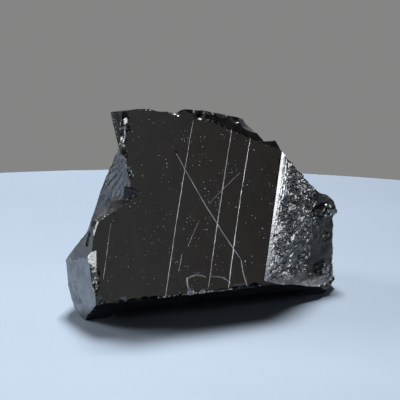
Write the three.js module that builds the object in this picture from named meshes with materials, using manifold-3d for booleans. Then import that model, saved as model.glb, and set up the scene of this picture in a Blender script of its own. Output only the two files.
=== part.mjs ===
// A broken lump of elite shungite, the glassy black carbon rock.
//
// The lump formed as one piece, so it is one solid. Millimetres, +Z up. +X runs along the bottom
// edge of the large polished cleavage face, which looks towards -Y and leans back a little. The
// stone rests on its flat base, and the origin is under the middle of it.
//
// Each break is a facet: a plane with its own azimuth (0 looks along -Y, +90 along +X), tilt
// (positive looks up), a point that it goes through, and a relief. A facet splits off all that
// lies beyond it. Where the stone is hollow, a notch splits off only what lies beyond all of its
// facets at once.
import * as THREE from "three";
import { mergeVertices } from "three/addons/utils/BufferGeometryUtils.js";
import Module from "manifold-3d";

const wasm = await Module();
wasm.setup();

// The rough block that the stone broke out of, and its middle, from which facets are measured.
const BLOCK = { length: 80, width: 60, height: 52 };
const MIDDLE = new THREE.Vector3(0, 2, 22);
const SPLIT = { span: 118, depth: 60 };

// How fine each kind of break is drawn: the distance between two points of its surface.
const CELL = { flat: 59, satin: 4.2, conchoid: 1.9, granular: 1.6, ribbed: 0.62, stepped: 1.6 };

// Shape of the breaks.
const SATIN = { height: 0.14, length: 5 };
const CONCHOID = { ripple: 0.17, wavelength: 3.3, wander: 0.22, length: 6 };
const GRAIN = { height: 0.52, length: 1.15, swell: 0.3, swellLength: 4 };
const RIB = { height: 0.17, pitch: 1.24 };
const STEP = { height: 0.24, pitch: 2.7, slant: 0.14, waviness: 0.25 };

const FACETS = {
  // the polished cleavage face and the break that undercuts it down to the base
  cleavage: { azimuth: 0, tilt: 12, through: [-25.1, -14, 5], relief: "flat" },
  undercut: { azimuth: 0, tilt: -45, through: [0, -8.9, 0], relief: "satin" },

  // the low arch under the front edge, between a foot at the left and a foot at the right
  archRoof: { azimuth: 0, tilt: -80, through: [0, -11.2, 2.3], relief: "satin" },
  archLeft: { azimuth: 90, tilt: -25, through: [-24, -9, 0], relief: "flat" },
  archRight: { azimuth: -90, tilt: -35, through: [22, -9, 0], relief: "flat" },

  // the left end, with a shoulder above it and a heel behind it
  leftEnd: { azimuth: -78, tilt: 0, through: [-29.85, -8.8, 0], relief: "satin" },
  leftCheek: { azimuth: -84, tilt: -1.8, through: [-30.55, -6.8, 7.9], relief: "satin" },
  leftHeel: { azimuth: -141, tilt: -71, through: [-29.85, -8.8, 0], relief: "satin" },
  leftHeelTop: { azimuth: -141, tilt: -32, through: [-31.1, -1.9, 4.5], relief: "satin" },
  leftBack: { azimuth: -125, tilt: -5, through: [-31, 0, 10.5], relief: "conchoid", bulb: [4, -12] },
  shoulder: { azimuth: -81.7, tilt: 15.6, through: [-29.7, -9.6, 14.2], relief: "satin" },
  shoulderRoof: { azimuth: -60, tilt: -75, through: [-26, -8, 26], relief: "flat" },
  shoulderBack: { azimuth: -133.4, tilt: 41.5, through: [-31.4, -1.3, 12.2], relief: "satin" },

  // the hollow in the upper left side
  wall: { azimuth: -58.7, tilt: 2.7, through: [-19.44, -8.35, 31.6], relief: "satin" },
  ledge: { azimuth: -68.6, tilt: 62.8, through: [-16.6, -9.2, 27.4], relief: "conchoid", bulb: [-14, -30] },
  ledgeBowl: { azimuth: -47.5, tilt: 44.7, through: [-16.7, -9.24, 27.4], relief: "conchoid", bulb: [4, -16] },
  ledgeBack: { azimuth: -120, tilt: 39, through: [-21.5, -5.4, 26.4], relief: "satin" },
  overhang: { azimuth: -50, tilt: -52, through: [-19.3, -8.8, 29], relief: "satin" },
  biteWall: { azimuth: -26, tilt: 5, through: [-16.6, -9.1, 27.4], relief: "flat" },
  ledgeEnd: { azimuth: -110.6, tilt: 17.6, through: [-28.2, -7.9, 20.1], relief: "satin" },
  hollowBack: { azimuth: -129, tilt: 25, through: [-25.3, 0, 21.5], relief: "conchoid", bulb: [14, 20] },
  hornUnder: { azimuth: -153, tilt: -43, through: [-20.1, -3.5, 39], relief: "satin" },
  upperBand: { azimuth: -44, tilt: 15.5, through: [-18.4, -5.6, 44.6], relief: "granular" },
  upperLeft: { azimuth: -82, tilt: 11.7, through: [-19.4, -4.7, 44.5], relief: "satin" },

  // the top
  top: { azimuth: 163, tilt: 74.4, through: [-15.8, -5.5, 45], relief: "satin" },
  hornTop: { azimuth: -158.6, tilt: 77.6, through: [-16.1, -5.5, 45.1], relief: "satin" },
  topBevel: { azimuth: 12.3, tilt: 34.3, through: [-2.2, -6.06, 42.3], relief: "satin" },
  topBack: { azimuth: 126.5, tilt: 70.4, through: [-1.8, -5, 43.7], relief: "conchoid", bulb: [10, -10] },
  ridgeEnd: { azimuth: 105.5, tilt: 24.2, through: [10.7, -5.2, 38.2], relief: "conchoid", bulb: [2, 30] },
  cornerTop: { azimuth: 185, tilt: 72, through: [15, -7.35, 36.1], relief: "satin" },
  cornerEnd: { azimuth: 92, tilt: 24.4, through: [14.9, -7.4, 36.2], relief: "satin" },

  // the right side: a ribbed bevel, a grainy break set back behind it, and the bench below
  slope: { azimuth: 117, tilt: 48, through: [16.3, -7.9, 33.4], relief: "satin" },
  ribbed: { azimuth: 23.5, tilt: 5.9, through: [9.79, -13.89, 5.5], relief: "ribbed", lean: -16.4 },
  grainy: { azimuth: 33, tilt: 2.5, through: [12.3, -12.5, 6], relief: "granular" },
  setBack: { azimuth: 5, tilt: 8, through: [26.6, -3, 15], relief: "stepped" },
  bench: { azimuth: 47, tilt: 69, through: [17.43, -9.47, 5.1], relief: "satin" },
  rightEnd: { azimuth: 86, tilt: -1, through: [31.3, 0, 20], relief: "stepped" },
  rightHeel: { azimuth: 55, tilt: -40, through: [28, -6.4, 0], relief: "satin" },

  // the back
  backFace: { azimuth: 172, tilt: 14, through: [2, 20, 12], relief: "stepped" },
  backLeft: { azimuth: -148, tilt: 12, through: [-20, 14, 10], relief: "conchoid", bulb: [12, 18] },
  backRight: { azimuth: 128, tilt: 10, through: [25, 12, 10], relief: "granular" },
  backTop: { azimuth: 178, tilt: 50, through: [-4, 8, 37], relief: "conchoid", bulb: [-16, 14] },
  backHeel: { azimuth: 180, tilt: -40, through: [0, 15, 0], relief: "satin" },
  stairWall: { azimuth: 146, tilt: 6, through: [8, 15, 24], relief: "granular" },
  stairTread: { azimuth: -170, tilt: 66, through: [6, 16, 22.5], relief: "satin" },
};

// What splits off, in order: a facet alone, or the facets that bound a notch.
const BREAKS = [
  ["cleavage"],
  ["undercut"],
  ["archRoof", "archLeft", "archRight"],
  ["leftEnd"],
  ["leftCheek"],
  ["leftHeel"],
  ["leftHeelTop"],
  ["leftBack"],
  ["shoulder", "shoulderRoof"],
  ["wall", "ledge", "ledgeBowl", "hornUnder"],
  ["wall", "ledgeBack", "hornUnder"],
  ["overhang", "ledge", "ledgeBowl", "biteWall"],
  ["shoulderBack", "hollowBack", "hornUnder"],
  ["shoulderBack", "ledgeEnd", "hornUnder"],
  ["upperBand", "ledge"],
  ["upperLeft", "ledge"],
  ["top"],
  ["hornTop"],
  ["topBevel"],
  ["topBack"],
  ["ridgeEnd", "cornerTop"],
  ["slope", "cornerEnd"],
  ["ribbed", "bench"],
  ["grainy", "setBack", "bench"],
  ["rightEnd"],
  ["rightHeel"],
  ["backFace"],
  ["backLeft"],
  ["backRight"],
  ["backTop"],
  ["backHeel"],
  ["stairWall", "stairTread"],
];

// Flakes off the left edge of the cleavage face: bevels of limited length. A flare makes a flake
// longer on its right than on its left, by that share for each millimetre.
const FLAKE_DEPTH = 6;
const FLAKES = [
  { azimuth: -86, tilt: 34, at: [-27.9, -9, 21], width: 4, length: 2.6, spin: 0, flare: 0, relief: "flat" },
  { azimuth: -45.5, tilt: 25.5, at: [-27.4, -10.3, 21.4], width: 4, length: 4.4, spin: 0, flare: 0, relief: "flat" },
  { azimuth: -37.7, tilt: 12.5, at: [-28.8, -12.25, 10.3], width: 4, length: 4.6, spin: -30, flare: 0, relief: "flat" },
  { azimuth: -44.7, tilt: 11, at: [-28.7, -11.2, 14.6], width: 4.6, length: 3, spin: -8.7, flare: 0.38, relief: "flat" },
  { azimuth: -8, tilt: 9, at: [-27.7, -13.5, 7.6], width: 4.4, length: 7, spin: 21, flare: 0, relief: "granular" },
];

// Chips along the edges: shallow flake scars. Each row looks out along its own azimuth and tilt.
const CHIPS = [
  { from: [-25, -14, 5], to: [-8, -14, 5], azimuth: 0, tilt: -18, count: 6, radius: 3.4, depth: 0.3 },
  { from: [-3.2, -14.1, 4.5], to: [-3.2, -14.1, 4.5], azimuth: 0, tilt: 12, count: 1, radius: 17, depth: 0.5 },
  { from: [2, -13.9, 5], to: [9, -13.9, 5.2], azimuth: 5, tilt: -12, count: 3, radius: 4, depth: 0.4 },
  { from: [-10, -6, 44.7], to: [-6.4, 4, 42.1], azimuth: 170, tilt: 75, count: 5, radius: 9, depth: 0.8 },
  { from: [-8, -6, 43.9], to: [-4.4, 4, 41.3], azimuth: 170, tilt: 75, count: 8, radius: 1.8, depth: 0.7 },
  { from: [-3.2, -5.4, 43.6], to: [-1.6, -5.6, 43], azimuth: 10, tilt: 50, count: 1, radius: 2, depth: 1.3 },
  { from: [0, -5, 43.2], to: [7, -5.6, 40.4], azimuth: 20, tilt: 60, count: 3, radius: 3, depth: 0.5 },
  { from: [9.8, -4.6, 39.5], to: [11, 0, 38.6], azimuth: 105, tilt: 35, count: 4, radius: 4.5, depth: 0.8 },
  { from: [-26.6, -14, 4.2], to: [-29.6, -9.4, 0.6], azimuth: -40, tilt: -25, count: 3, radius: 1.5, depth: 0.25 },
  { from: [24, -12, 3.8], to: [31, -4.6, 4.5], azimuth: 40, tilt: 0, count: 4, radius: 3, depth: 0.5 },
  { from: [17, -8, 33], to: [27, -2.4, 22.6], azimuth: 60, tilt: 35, count: 5, radius: 2.6, depth: 0.5 },
  { from: [19, 17.5, 6], to: [17, 14, 24], azimuth: 150, tilt: 12, count: 4, radius: 6, depth: 0.6 },
  { from: [-14, 5, 40], to: [6, 6, 38], azimuth: 180, tilt: 62, count: 4, radius: 6, depth: 0.5 },
];

// Angular lumps left standing on the right end, long from front to back.
const LUMPS = [
  { at: [28.4, 1.9, 17.3], radius: 4.55, squash: [1.05, 1.35, 0.76], turn: 20 },
  { at: [28.5, 1.4, 11], radius: 4.2, squash: [0.8, 1.3, 0.9], turn: 8 },
  { at: [27.9, -1.2, 4.5], radius: 3.9, squash: [0.85, 1.3, 0.72], turn: -6 },
];

const LOOK = { color: 0x1b1b1d, roughness: 0.24, metalness: 0.75 };

// A repeatable number from 0 to 1 for each step of a count.
function scatter(step) {
  const wave = Math.sin(step * 127.1 + 11.7) * 43758.5453;
  return wave - Math.floor(wave);
}

// Slow unevenness of a surface, from -1 to 1, with humps about `length` apart.
function swell(u, v, length, seed) {
  const a = Math.sin((u * 0.9 + v * 0.3) / length + seed * 1.7);
  const b = Math.sin((v * 1.1 - u * 0.4) / length + seed * 2.9);
  const c = Math.sin((u * 1.6 + v * 1.9) / length + seed * 4.3);
  const d = Math.sin((u * 2.3 - v * 1.7) / length + seed * 0.6);
  return (a + b + 0.6 * c + 0.4 * d) / 3;
}

// The relief of each kind of break: how far the surface stands out at (u, v) from its plane.
const RELIEFS = {
  flat: () => 0,

  satin: (u, v, facet, seed) => SATIN.height * swell(u, v, SATIN.length, seed),

  conchoid: (u, v, facet, seed) => {
    const [bulbU, bulbV] = facet.bulb;
    const reach = Math.hypot(u - bulbU, v - bulbV) + CONCHOID.wander * 4 * swell(u, v, CONCHOID.length, seed);
    const ripple = Math.sin((2 * Math.PI * reach) / CONCHOID.wavelength);
    return CONCHOID.ripple * ripple + CONCHOID.wander * swell(u, v, CONCHOID.length, seed);
  },

  granular: (u, v, facet, seed) => {
    const grain = Math.abs(swell(u, v, GRAIN.length, seed)) * 2 - 0.7;
    return GRAIN.height * grain + GRAIN.swell * swell(u, v, GRAIN.swellLength, seed + 3);
  },

  ribbed: (u) => RIB.height * Math.cos((2 * Math.PI * u) / RIB.pitch),

  stepped: (u, v, facet, seed) => {
    const along = v + u * STEP.slant + STEP.waviness * 4 * swell(u, v, 5, seed);
    const phase = along / STEP.pitch - Math.floor(along / STEP.pitch);
    return STEP.height * (0.5 - phase) + STEP.waviness * swell(u, v, 4, seed + 1);
  },
};

function outward(azimuth, tilt) {
  const turn = THREE.MathUtils.degToRad(azimuth);
  const lean = THREE.MathUtils.degToRad(tilt);
  const level = Math.cos(lean);
  return new THREE.Vector3(Math.sin(turn) * level, -Math.cos(turn) * level, Math.sin(lean));
}

// Places local +Z along the outward direction and local +X level, at the given point.
function facing(azimuth, tilt, point) {
  const turn = THREE.MathUtils.degToRad(azimuth);
  const normal = outward(azimuth, tilt);
  const across = new THREE.Vector3(Math.cos(turn), Math.sin(turn), 0);
  const upward = normal.clone().cross(across);
  return new THREE.Matrix4().makeBasis(across, upward, normal).setPosition(point);
}

function solid(geometry) {
  geometry.deleteAttribute("normal");
  geometry.deleteAttribute("uv");
  const merged = mergeVertices(geometry, 1e-4);
  const vertProperties = merged.attributes.position.array;
  const triVerts = new Uint32Array(merged.index.array);
  return new wasm.Manifold(new wasm.Mesh({ numProp: 3, vertProperties, triVerts }));
}

// A slab whose near side, at z = 0, carries the relief of a facet.
function brokenSlab(width, height, depth, facet, seed) {
  const relief = RELIEFS[facet.relief];
  const cell = CELL[facet.relief];
  const across = Math.ceil(width / cell);
  const upward = facet.relief === "ribbed" ? 6 : Math.ceil(height / cell);
  const slab = new THREE.BoxGeometry(width, height, depth, across, upward, 1);
  slab.translate(0, 0, depth / 2);
  const position = slab.attributes.position;
  for (let i = 0; i < position.count; i += 1) {
    if (position.getZ(i) < depth / 2) {
      const rise = relief(position.getX(i), position.getY(i), facet, seed);
      position.setZ(i, rise);
    }
  }
  return slab;
}

// All that lies beyond one facet.
function beyond(name) {
  const facet = FACETS[name];
  const seed = Object.keys(FACETS).indexOf(name) + 1;
  const normal = outward(facet.azimuth, facet.tilt);
  const reach = new THREE.Vector3(...facet.through).sub(MIDDLE).dot(normal);
  const foot = MIDDLE.clone().addScaledVector(normal, reach);
  const slab = brokenSlab(SPLIT.span, SPLIT.span, SPLIT.depth, facet, seed);
  slab.rotateZ(THREE.MathUtils.degToRad(facet.lean ?? 0));
  slab.applyMatrix4(facing(facet.azimuth, facet.tilt, foot));
  return solid(slab);
}

function splitOff(names) {
  return names.map(beyond).reduce((hollow, next) => hollow.intersect(next));
}

function flake(bevel, row) {
  const slab = brokenSlab(bevel.width, bevel.length, FLAKE_DEPTH, bevel, row + 1);
  const position = slab.attributes.position;
  for (let i = 0; i < position.count; i += 1) {
    position.setY(i, position.getY(i) * (1 + bevel.flare * position.getX(i)));
  }
  slab.rotateZ(THREE.MathUtils.degToRad(bevel.spin));
  slab.applyMatrix4(facing(bevel.azimuth, bevel.tilt, new THREE.Vector3(...bevel.at)));
  return solid(slab);
}

// Rounded cutters spread along an edge, each of them sunk into it by its own share of the depth.
function chips({ from, to, azimuth, tilt, count, radius, depth }, row) {
  const start = new THREE.Vector3(...from);
  const end = new THREE.Vector3(...to);
  const away = outward(azimuth, tilt);
  const tools = [];
  for (let i = 0; i < count; i += 1) {
    const step = row * 40 + i;
    const size = radius * (0.65 + 0.6 * scatter(step + 0.5));
    const sunk = depth * (0.5 + 0.9 * scatter(step + 0.3));
    const place = start.clone().lerp(end, (i + 0.2 + 0.6 * scatter(step)) / count);
    place.addScaledVector(away, size - sunk);
    const hollow = new THREE.IcosahedronGeometry(size, 1);
    hollow.rotateX(scatter(step + 0.7) * Math.PI);
    hollow.rotateZ(scatter(step + 0.9) * Math.PI);
    hollow.translate(place.x, place.y, place.z);
    tools.push(solid(hollow));
  }
  return tools;
}

function lump({ at, radius, squash, turn }) {
  const chunk = new THREE.DodecahedronGeometry(radius, 0);
  chunk.rotateX(THREE.MathUtils.degToRad(turn));
  chunk.scale(...squash);
  chunk.rotateZ(THREE.MathUtils.degToRad(turn));
  chunk.translate(...at);
  return solid(chunk);
}

function breakStone() {
  const block = new THREE.BoxGeometry(BLOCK.length, BLOCK.width, BLOCK.height);
  block.translate(0, MIDDLE.y, BLOCK.height / 2);
  let stone = solid(block);
  for (const names of BREAKS) stone = stone.subtract(splitOff(names));
  for (const shape of LUMPS) stone = stone.add(lump(shape));
  FLAKES.forEach((bevel, row) => {
    stone = stone.subtract(flake(bevel, row));
  });
  CHIPS.forEach((edge, row) => {
    for (const tool of chips(edge, row)) stone = stone.subtract(tool);
  });
  return stone;
}

// Turns the finished solid back into triangles, centred over the middle of its base.
function stoneGeometry() {
  const mesh = breakStone().getMesh();
  const geometry = new THREE.BufferGeometry();
  geometry.setAttribute("position", new THREE.BufferAttribute(new Float32Array(mesh.vertProperties), 3));
  geometry.setIndex(new THREE.BufferAttribute(new Uint32Array(mesh.triVerts), 1));
  geometry.computeBoundingBox();
  const box = geometry.boundingBox;
  const middle = box.getCenter(new THREE.Vector3());
  geometry.translate(-middle.x, -middle.y, -box.min.z);
  return geometry;
}

function shungiteStone() {
  const stone = new THREE.Mesh(stoneGeometry(), new THREE.MeshStandardMaterial(LOOK));
  stone.name = "shungite_stone";
  return stone;
}

const root = new THREE.Group();
root.add(shungiteStone());
export default root;
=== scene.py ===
"""A broken lump of elite shungite, the glassy black carbon rock, dressed for its looks.

The lump formed as one piece, so it is one piece here. It is broken out of a rough block, facet by
facet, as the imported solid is, but each break carries its own fine relief: the all but flat polish
of the cleavage face, ripples, grains, flutes, steps, chips along the edges and scratches. Sizes in
the classes are millimetres. A finished mesh is in metres and stands in the frame's own place.

Azimuth is in degrees: 0 looks along -Y and +90 along +X. Tilt is in degrees and positive upwards.
"""
import logging
import math
from dataclasses import dataclass, field
from enum import Enum
from typing import Iterable, NamedTuple, Optional

import bmesh
import bpy
from mathutils import Matrix, Vector, noise


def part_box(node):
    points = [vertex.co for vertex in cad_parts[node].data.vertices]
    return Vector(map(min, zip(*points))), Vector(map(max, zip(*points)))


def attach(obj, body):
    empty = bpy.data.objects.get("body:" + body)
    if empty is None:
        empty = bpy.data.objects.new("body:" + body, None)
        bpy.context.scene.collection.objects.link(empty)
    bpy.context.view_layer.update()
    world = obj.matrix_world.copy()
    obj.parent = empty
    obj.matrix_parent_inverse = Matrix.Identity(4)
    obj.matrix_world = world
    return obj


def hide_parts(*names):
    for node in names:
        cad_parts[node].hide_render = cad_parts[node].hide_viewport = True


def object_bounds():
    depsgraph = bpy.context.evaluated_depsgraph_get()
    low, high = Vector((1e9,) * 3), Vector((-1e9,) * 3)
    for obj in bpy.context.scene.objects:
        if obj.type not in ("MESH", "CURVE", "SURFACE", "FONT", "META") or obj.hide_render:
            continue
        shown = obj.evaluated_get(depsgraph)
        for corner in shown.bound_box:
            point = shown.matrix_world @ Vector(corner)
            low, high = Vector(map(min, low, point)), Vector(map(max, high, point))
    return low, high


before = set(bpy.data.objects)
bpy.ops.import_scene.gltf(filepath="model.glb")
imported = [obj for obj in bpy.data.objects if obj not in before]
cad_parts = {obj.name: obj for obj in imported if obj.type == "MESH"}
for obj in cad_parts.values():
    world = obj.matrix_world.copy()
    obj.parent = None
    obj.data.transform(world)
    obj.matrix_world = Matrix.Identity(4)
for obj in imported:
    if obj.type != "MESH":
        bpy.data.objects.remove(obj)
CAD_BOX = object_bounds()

MM = 0.001
NODE = "shungite_stone"
# the sine whose far decimals serve as scattered numbers
SCATTER_RATE, SCATTER_START, SCATTER_GAIN = 127.1, 11.7, 43758.5453
# how far apart the noise of two seeds lies, and that of two grains
SEED_STRIDE = 7.31
GRAIN_STRIDE = 3.1
# each wave of a swell: its rates across and upwards, its shift for each seed, and its share
WAVES = ((0.9, 0.3, 1.7, 1.0), (-0.4, 1.1, 2.9, 1.0), (1.6, 1.9, 4.3, 0.6), (2.3, -1.7, 0.6, 0.4))
WAVE_SHARES = sum(wave[3] for wave in WAVES)
log = logging.getLogger("shungite")


class Finish(Enum):
    """How a broken surface looks. The value is its material slot on the stone."""

    CLEAVAGE = 0
    SATIN = 1
    GLASSY = 2
    GRAINY = 3
    FLUTED = 4
    STEPPED = 5
    CHIPPED = 6
    CRUSHED = 7
    # painted light: a lighter, bluer tone for the left end
    LIT_SLATE = 8
    DULL = 9
    # painted shade: the darkest tone, for facets that sit in shade or mirror dark surroundings
    SHADED = 10
    DIM = 11
    # painted light: a pale tone for the bench, which catches light
    LIT_PALE = 12
    RIBBED = 13


# The finishes whose faces stay flat, so that each of them glints by itself.
FLAT_FINISHES = (Finish.CLEAVAGE, Finish.CHIPPED, Finish.CRUSHED)


class Reaches(Enum):
    """Which surfaces a light reaches: the matt share of the finishes, and their gloss."""

    ALL = (True, True)
    GLOSS = (False, True)
    MATT = (True, False)


class Cut(Enum):
    """What one closed mesh does to another."""

    JOIN = "UNION"
    REMOVE = "DIFFERENCE"
    SHARE = "INTERSECT"


def scatter(step: float) -> float:
    """Gives a repeatable number from 0 to 1 for each step of a count."""
    wave = math.sin(step * SCATTER_RATE + SCATTER_START) * SCATTER_GAIN
    return wave - math.floor(wave)


def swell(u: float, v: float, length: float, seed: float) -> float:
    """Gives the slow unevenness of a surface.

    Args:
        u: place across the surface.
        v: place up the surface.
        length: distance between humps, roughly.
        seed: number that sets one surface apart from another.

    Returns:
        A height from -1 to 1.
    """
    total = 0.0
    for across, upward, shift, share in WAVES:
        total += share * math.sin((u * across + v * upward) / length + seed * shift)
    return total / WAVE_SHARES


def rough(u: float, v: float, length: float, seed: float) -> float:
    """Gives fine noise from -1 to 1 with features about length apart."""
    return noise.noise(Vector((u / length, v / length, seed * SEED_STRIDE)))


def grain_at(place: Vector) -> tuple[Vector, Vector]:
    """Finds the grain that a place lies in, where grains are about one apart.

    Args:
        place: the place, in grains.

    Returns:
        The way from the grain's core to the place, and the way that the grain itself tips.
    """
    core = noise.voronoi(place)[1][0]
    return place - core, noise.cell_vector(core * GRAIN_STRIDE) - Vector((0.5, 0.5, 0.5))


class Spot(NamedTuple):
    """A place on a facet."""

    u: float  # across the facet, from its foot
    v: float  # up the facet, from its foot
    bulb: tuple[float, float]  # the point that ripples spread from
    seed: int  # number of the facet


@dataclass(frozen=True)
class Relief:
    """Base of the reliefs: a break that is dead flat."""

    cell: float = 2.0  # distance between the points that carry the relief
    finish: Finish = Finish.SATIN  # the finish of the break

    def rise(self, spot: Spot) -> float:
        """Gives how far the surface stands out from its plane.

        Args:
            spot: the place on the facet.

        Returns:
            The rise in millimetres.
        """
        return 0.0


@dataclass(frozen=True)
class Polish(Relief):
    """The cleavage face: all but flat, with a long faint wave."""

    cell: float = 0.9
    finish: Finish = Finish.CLEAVAGE
    height: float = 0.012  # height of the wave
    length: float = 7.0  # distance between its humps

    def rise(self, spot: Spot) -> float:
        """Gives the rise of the faint wave, as in Relief."""
        return self.height * swell(spot.u, spot.v, self.length, spot.seed)


@dataclass(frozen=True)
class Satin(Relief):
    """A smooth break with slow waves and a fine tooth."""

    cell: float = 0.55
    finish: Finish = Finish.SATIN
    height: float = 0.14  # height of the waves
    length: float = 5.0  # distance between their humps
    tooth: float = 0.035  # height of the tooth
    tooth_length: float = 0.9  # distance between its features
    finer: float = 2.3  # how much finer its second layer is, which has half the height

    def rise(self, spot: Spot) -> float:
        """Gives the rise of the waves and the tooth.

        Args:
            spot: the place on the facet.

        Returns:
            The rise in millimetres.
        """
        u, v, _, seed = spot
        finest = rough(u, v, self.tooth_length / self.finer, seed + 5)
        fine = rough(u, v, self.tooth_length, seed) + 0.5 * finest
        return self.height * swell(u, v, self.length, seed) + self.tooth * fine


@dataclass(frozen=True)
class Conchoid(Relief):
    """A shell-like break: rings around the bulb, with fine rays across them."""

    cell: float = 0.36
    finish: Finish = Finish.GLASSY
    ripple: float = 0.1  # height of the rings
    wavelength: float = 3.3  # distance between them
    unevenness: float = 1.5  # how far they stand from even spacing
    wander: float = 0.22  # height of the slow swell under them
    length: float = 6.0  # distance between its humps
    ray: float = 0.05  # height of the rays
    rays: float = 60.0  # how many of them there are, roughly, for each radian
    sway: float = 4.0  # how far the swell pushes the rings about, in heights of the swell
    spacing_length: float = 5.0  # distance over which the rings crowd and spread
    fade: tuple[float, float] = (0.55, 0.9)  # the middle and the change of the rings' strength
    fade_length: float = 7.0  # distance over which it changes
    ray_stretch: float = 3.0  # how much longer a ray is than it is wide
    ray_length: float = 1.6  # width of a ray, in rays
    tooth: float = 0.6  # share of the fine tooth beside the rays
    tooth_length: float = 0.7  # distance between its features

    def rise(self, spot: Spot) -> float:
        """Gives the rise of the rings and the rays.

        Args:
            spot: the place on the facet.

        Returns:
            The rise in millimetres.
        """
        u, v, bulb, seed = spot
        across, upward = u - bulb[0], v - bulb[1]
        reach = math.hypot(across, upward) + self.wander * self.sway * swell(u, v, self.length, seed)
        reach += self.unevenness * rough(reach, 0.0, self.spacing_length, seed + 7)
        strength = self.fade[0] + self.fade[1] * rough(u, v, self.fade_length, seed + 8)
        ring = math.sin(2 * math.pi * reach / self.wavelength) * strength
        turn = math.atan2(upward, across) * self.rays
        ray = rough(turn, reach / self.ray_stretch, self.ray_length, seed)
        ray += self.tooth * rough(u, v, self.tooth_length, seed + 2)
        return self.ripple * ring + self.wander * swell(u, v, self.length, seed) + self.ray * ray


@dataclass(frozen=True)
class Granular(Relief):
    """A hackly break: grains that each face their own way, on slow swells."""

    cell: float = 0.18
    finish: Finish = Finish.GRAINY
    height: float = 0.34  # height of the ridges between hollows
    length: float = 0.8  # distance between the ridges
    swell_height: float = 0.35  # height of the slow swells
    swell_length: float = 3.0  # distance between their humps
    grain: float = 0.4  # size of a grain
    lean: float = 0.62  # how far the grains tip
    flatness: float = 3.2  # how much wider than high the grains and ridges are
    ridge: float = 0.55  # share of the height that the ridges keep
    sunk: float = 0.7  # how far the hollows lie below the plane, in ridges
    step: float = 0.16  # height of one grain above the next, in grains
    seed_stride: float = 3.7  # how far apart the grains of two facets lie

    def rise(self, spot: Spot) -> float:
        """Gives the rise of the grains, the ridges and the swells.

        Args:
            spot: the place on the facet.

        Returns:
            The rise in millimetres.
        """
        u, v, _, seed = spot
        coarse = abs(swell(u / self.flatness, v, self.length, seed)) * 2 - self.sunk
        slow = self.swell_height * swell(u, v, self.swell_length, seed + 3)
        place = Vector((u / self.grain / self.flatness, v / self.grain, seed * self.seed_stride))
        away, tip = grain_at(place)
        facet = (away.x * tip.x + away.y * tip.y) * 2 * self.lean + self.step * tip.z
        return self.height * self.ridge * coarse + slow + facet * self.grain


@dataclass(frozen=True)
class Fluted(Relief):
    """A bevel broken like fibres that run up it, behind a plain strip at its edge.

    Each fibre has its own slight turn, so that it catches the light or doesn't.
    """

    cell: float = 0.12
    finish: Finish = Finish.FLUTED
    edge: float = 7.75  # place across the facet where the strip starts
    strip: float = 1.05  # width of the strip
    pitch: float = 0.42  # width of a fibre
    run: float = 12.0  # length over which a fibre keeps its turn
    splay: float = 0.15  # the most that a fibre turns, as a slope
    scale: float = 2.3  # length of the shingles that a fibre splits into
    lift: float = 0.03  # how far a shingle stands up, as a slope
    roundness: float = 0.012  # how fast the bevel bends away
    ragged: float = 0.018  # height of the fine fibres
    sway: tuple[float, float] = (0.16, 0.03)  # how far a fibre bends, over a long and over a short way
    sway_length: tuple[float, float] = (5.0, 1.6)  # those two ways
    groove: float = 0.5  # slope of the grooves between fibres
    crest: float = 0.34  # half the share of a fibre that lies between its grooves
    strip_share: float = 0.35  # share of the fine fibres that shows on the strip

    def rise(self, spot: Spot) -> float:
        """Gives the rise of the strip and the fibres.

        Args:
            spot: the place on the facet.

        Returns:
            The rise in millimetres.
        """
        u, v, _, seed = spot
        sway = self.sway[0] * rough(u * 0.3, v, self.sway_length[0], seed)
        sway += self.sway[1] * rough(u, v, self.sway_length[1], seed + 1)
        place = u - self.edge + sway
        fine = self.ragged * rough(place * 4.5, v * 0.25, 1.0, seed + 3)
        if place <= self.strip:
            return self.strip_share * fine
        place -= self.strip
        strand = math.floor(place / self.pitch)
        part = math.floor(v / self.run + 5 * scatter(strand))
        turn = (scatter(strand * 1.7 + part * 5.3) - 0.5) * 2 * self.splay
        across = place - (strand + 0.5) * self.pitch
        fibre = across * turn - self.groove * max(0.0, abs(across) - self.pitch * self.crest)
        along = v / self.scale + 3 * scatter(strand + 0.5) + 0.3 * rough(u, v, 1.5, seed + 6)
        shingle = (along - math.floor(along)) * self.scale * self.lift
        return fibre - shingle + fine - self.roundness * place ** 2


@dataclass(frozen=True)
class Stepped(Relief):
    """A break that drops in shallow, uneven steps."""

    cell: float = 0.34
    finish: Finish = Finish.STEPPED
    height: float = 0.24  # height of a step
    pitch: float = 2.7  # distance between steps
    slant: float = 0.14  # slope of the steps across the facet
    waviness: float = 0.25  # height of the slow swell under them
    unevenness: float = 2.6  # how far they stand from even spacing
    sway: float = 4.0  # how far the swell pushes the steps about, in heights of the swell
    length: float = 5.0  # distance between the humps of that swell
    # the least, the middle and the change of the steps' strength
    strength: tuple[float, float, float] = (0.15, 0.6, 1.4)
    strength_length: float = 6.0  # distance over which it changes
    tooth: tuple[float, float] = (0.05, 0.04)  # height of the two layers of the fine tooth
    tooth_length: tuple[float, float] = (0.5, 1.1)  # distance between the features of each layer

    def rise(self, spot: Spot) -> float:
        """Gives the rise of the steps.

        Args:
            spot: the place on the facet.

        Returns:
            The rise in millimetres.
        """
        u, v, _, seed = spot
        along = v + u * self.slant + self.waviness * self.sway * swell(u, v, self.length, seed)
        shift = rough(along, 0.0, self.length, seed + 7) + 0.4 * rough(u, v, 2.2, seed + 9)
        along += self.unevenness * shift
        least, middle, change = self.strength
        strength = min(1.0, max(least, middle + change * rough(u, v, self.strength_length, seed + 8)))
        phase = along / self.pitch - math.floor(along / self.pitch)
        phase = 0.5 + (phase - 0.5) * strength
        fine = self.tooth[0] * rough(u * 0.5, v, self.tooth_length[0], seed)
        fine += self.tooth[1] * rough(u, v, self.tooth_length[1], seed + 2)
        return self.height * (0.5 - phase) + self.waviness * swell(u, v, 4, seed + 1) + fine


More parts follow.
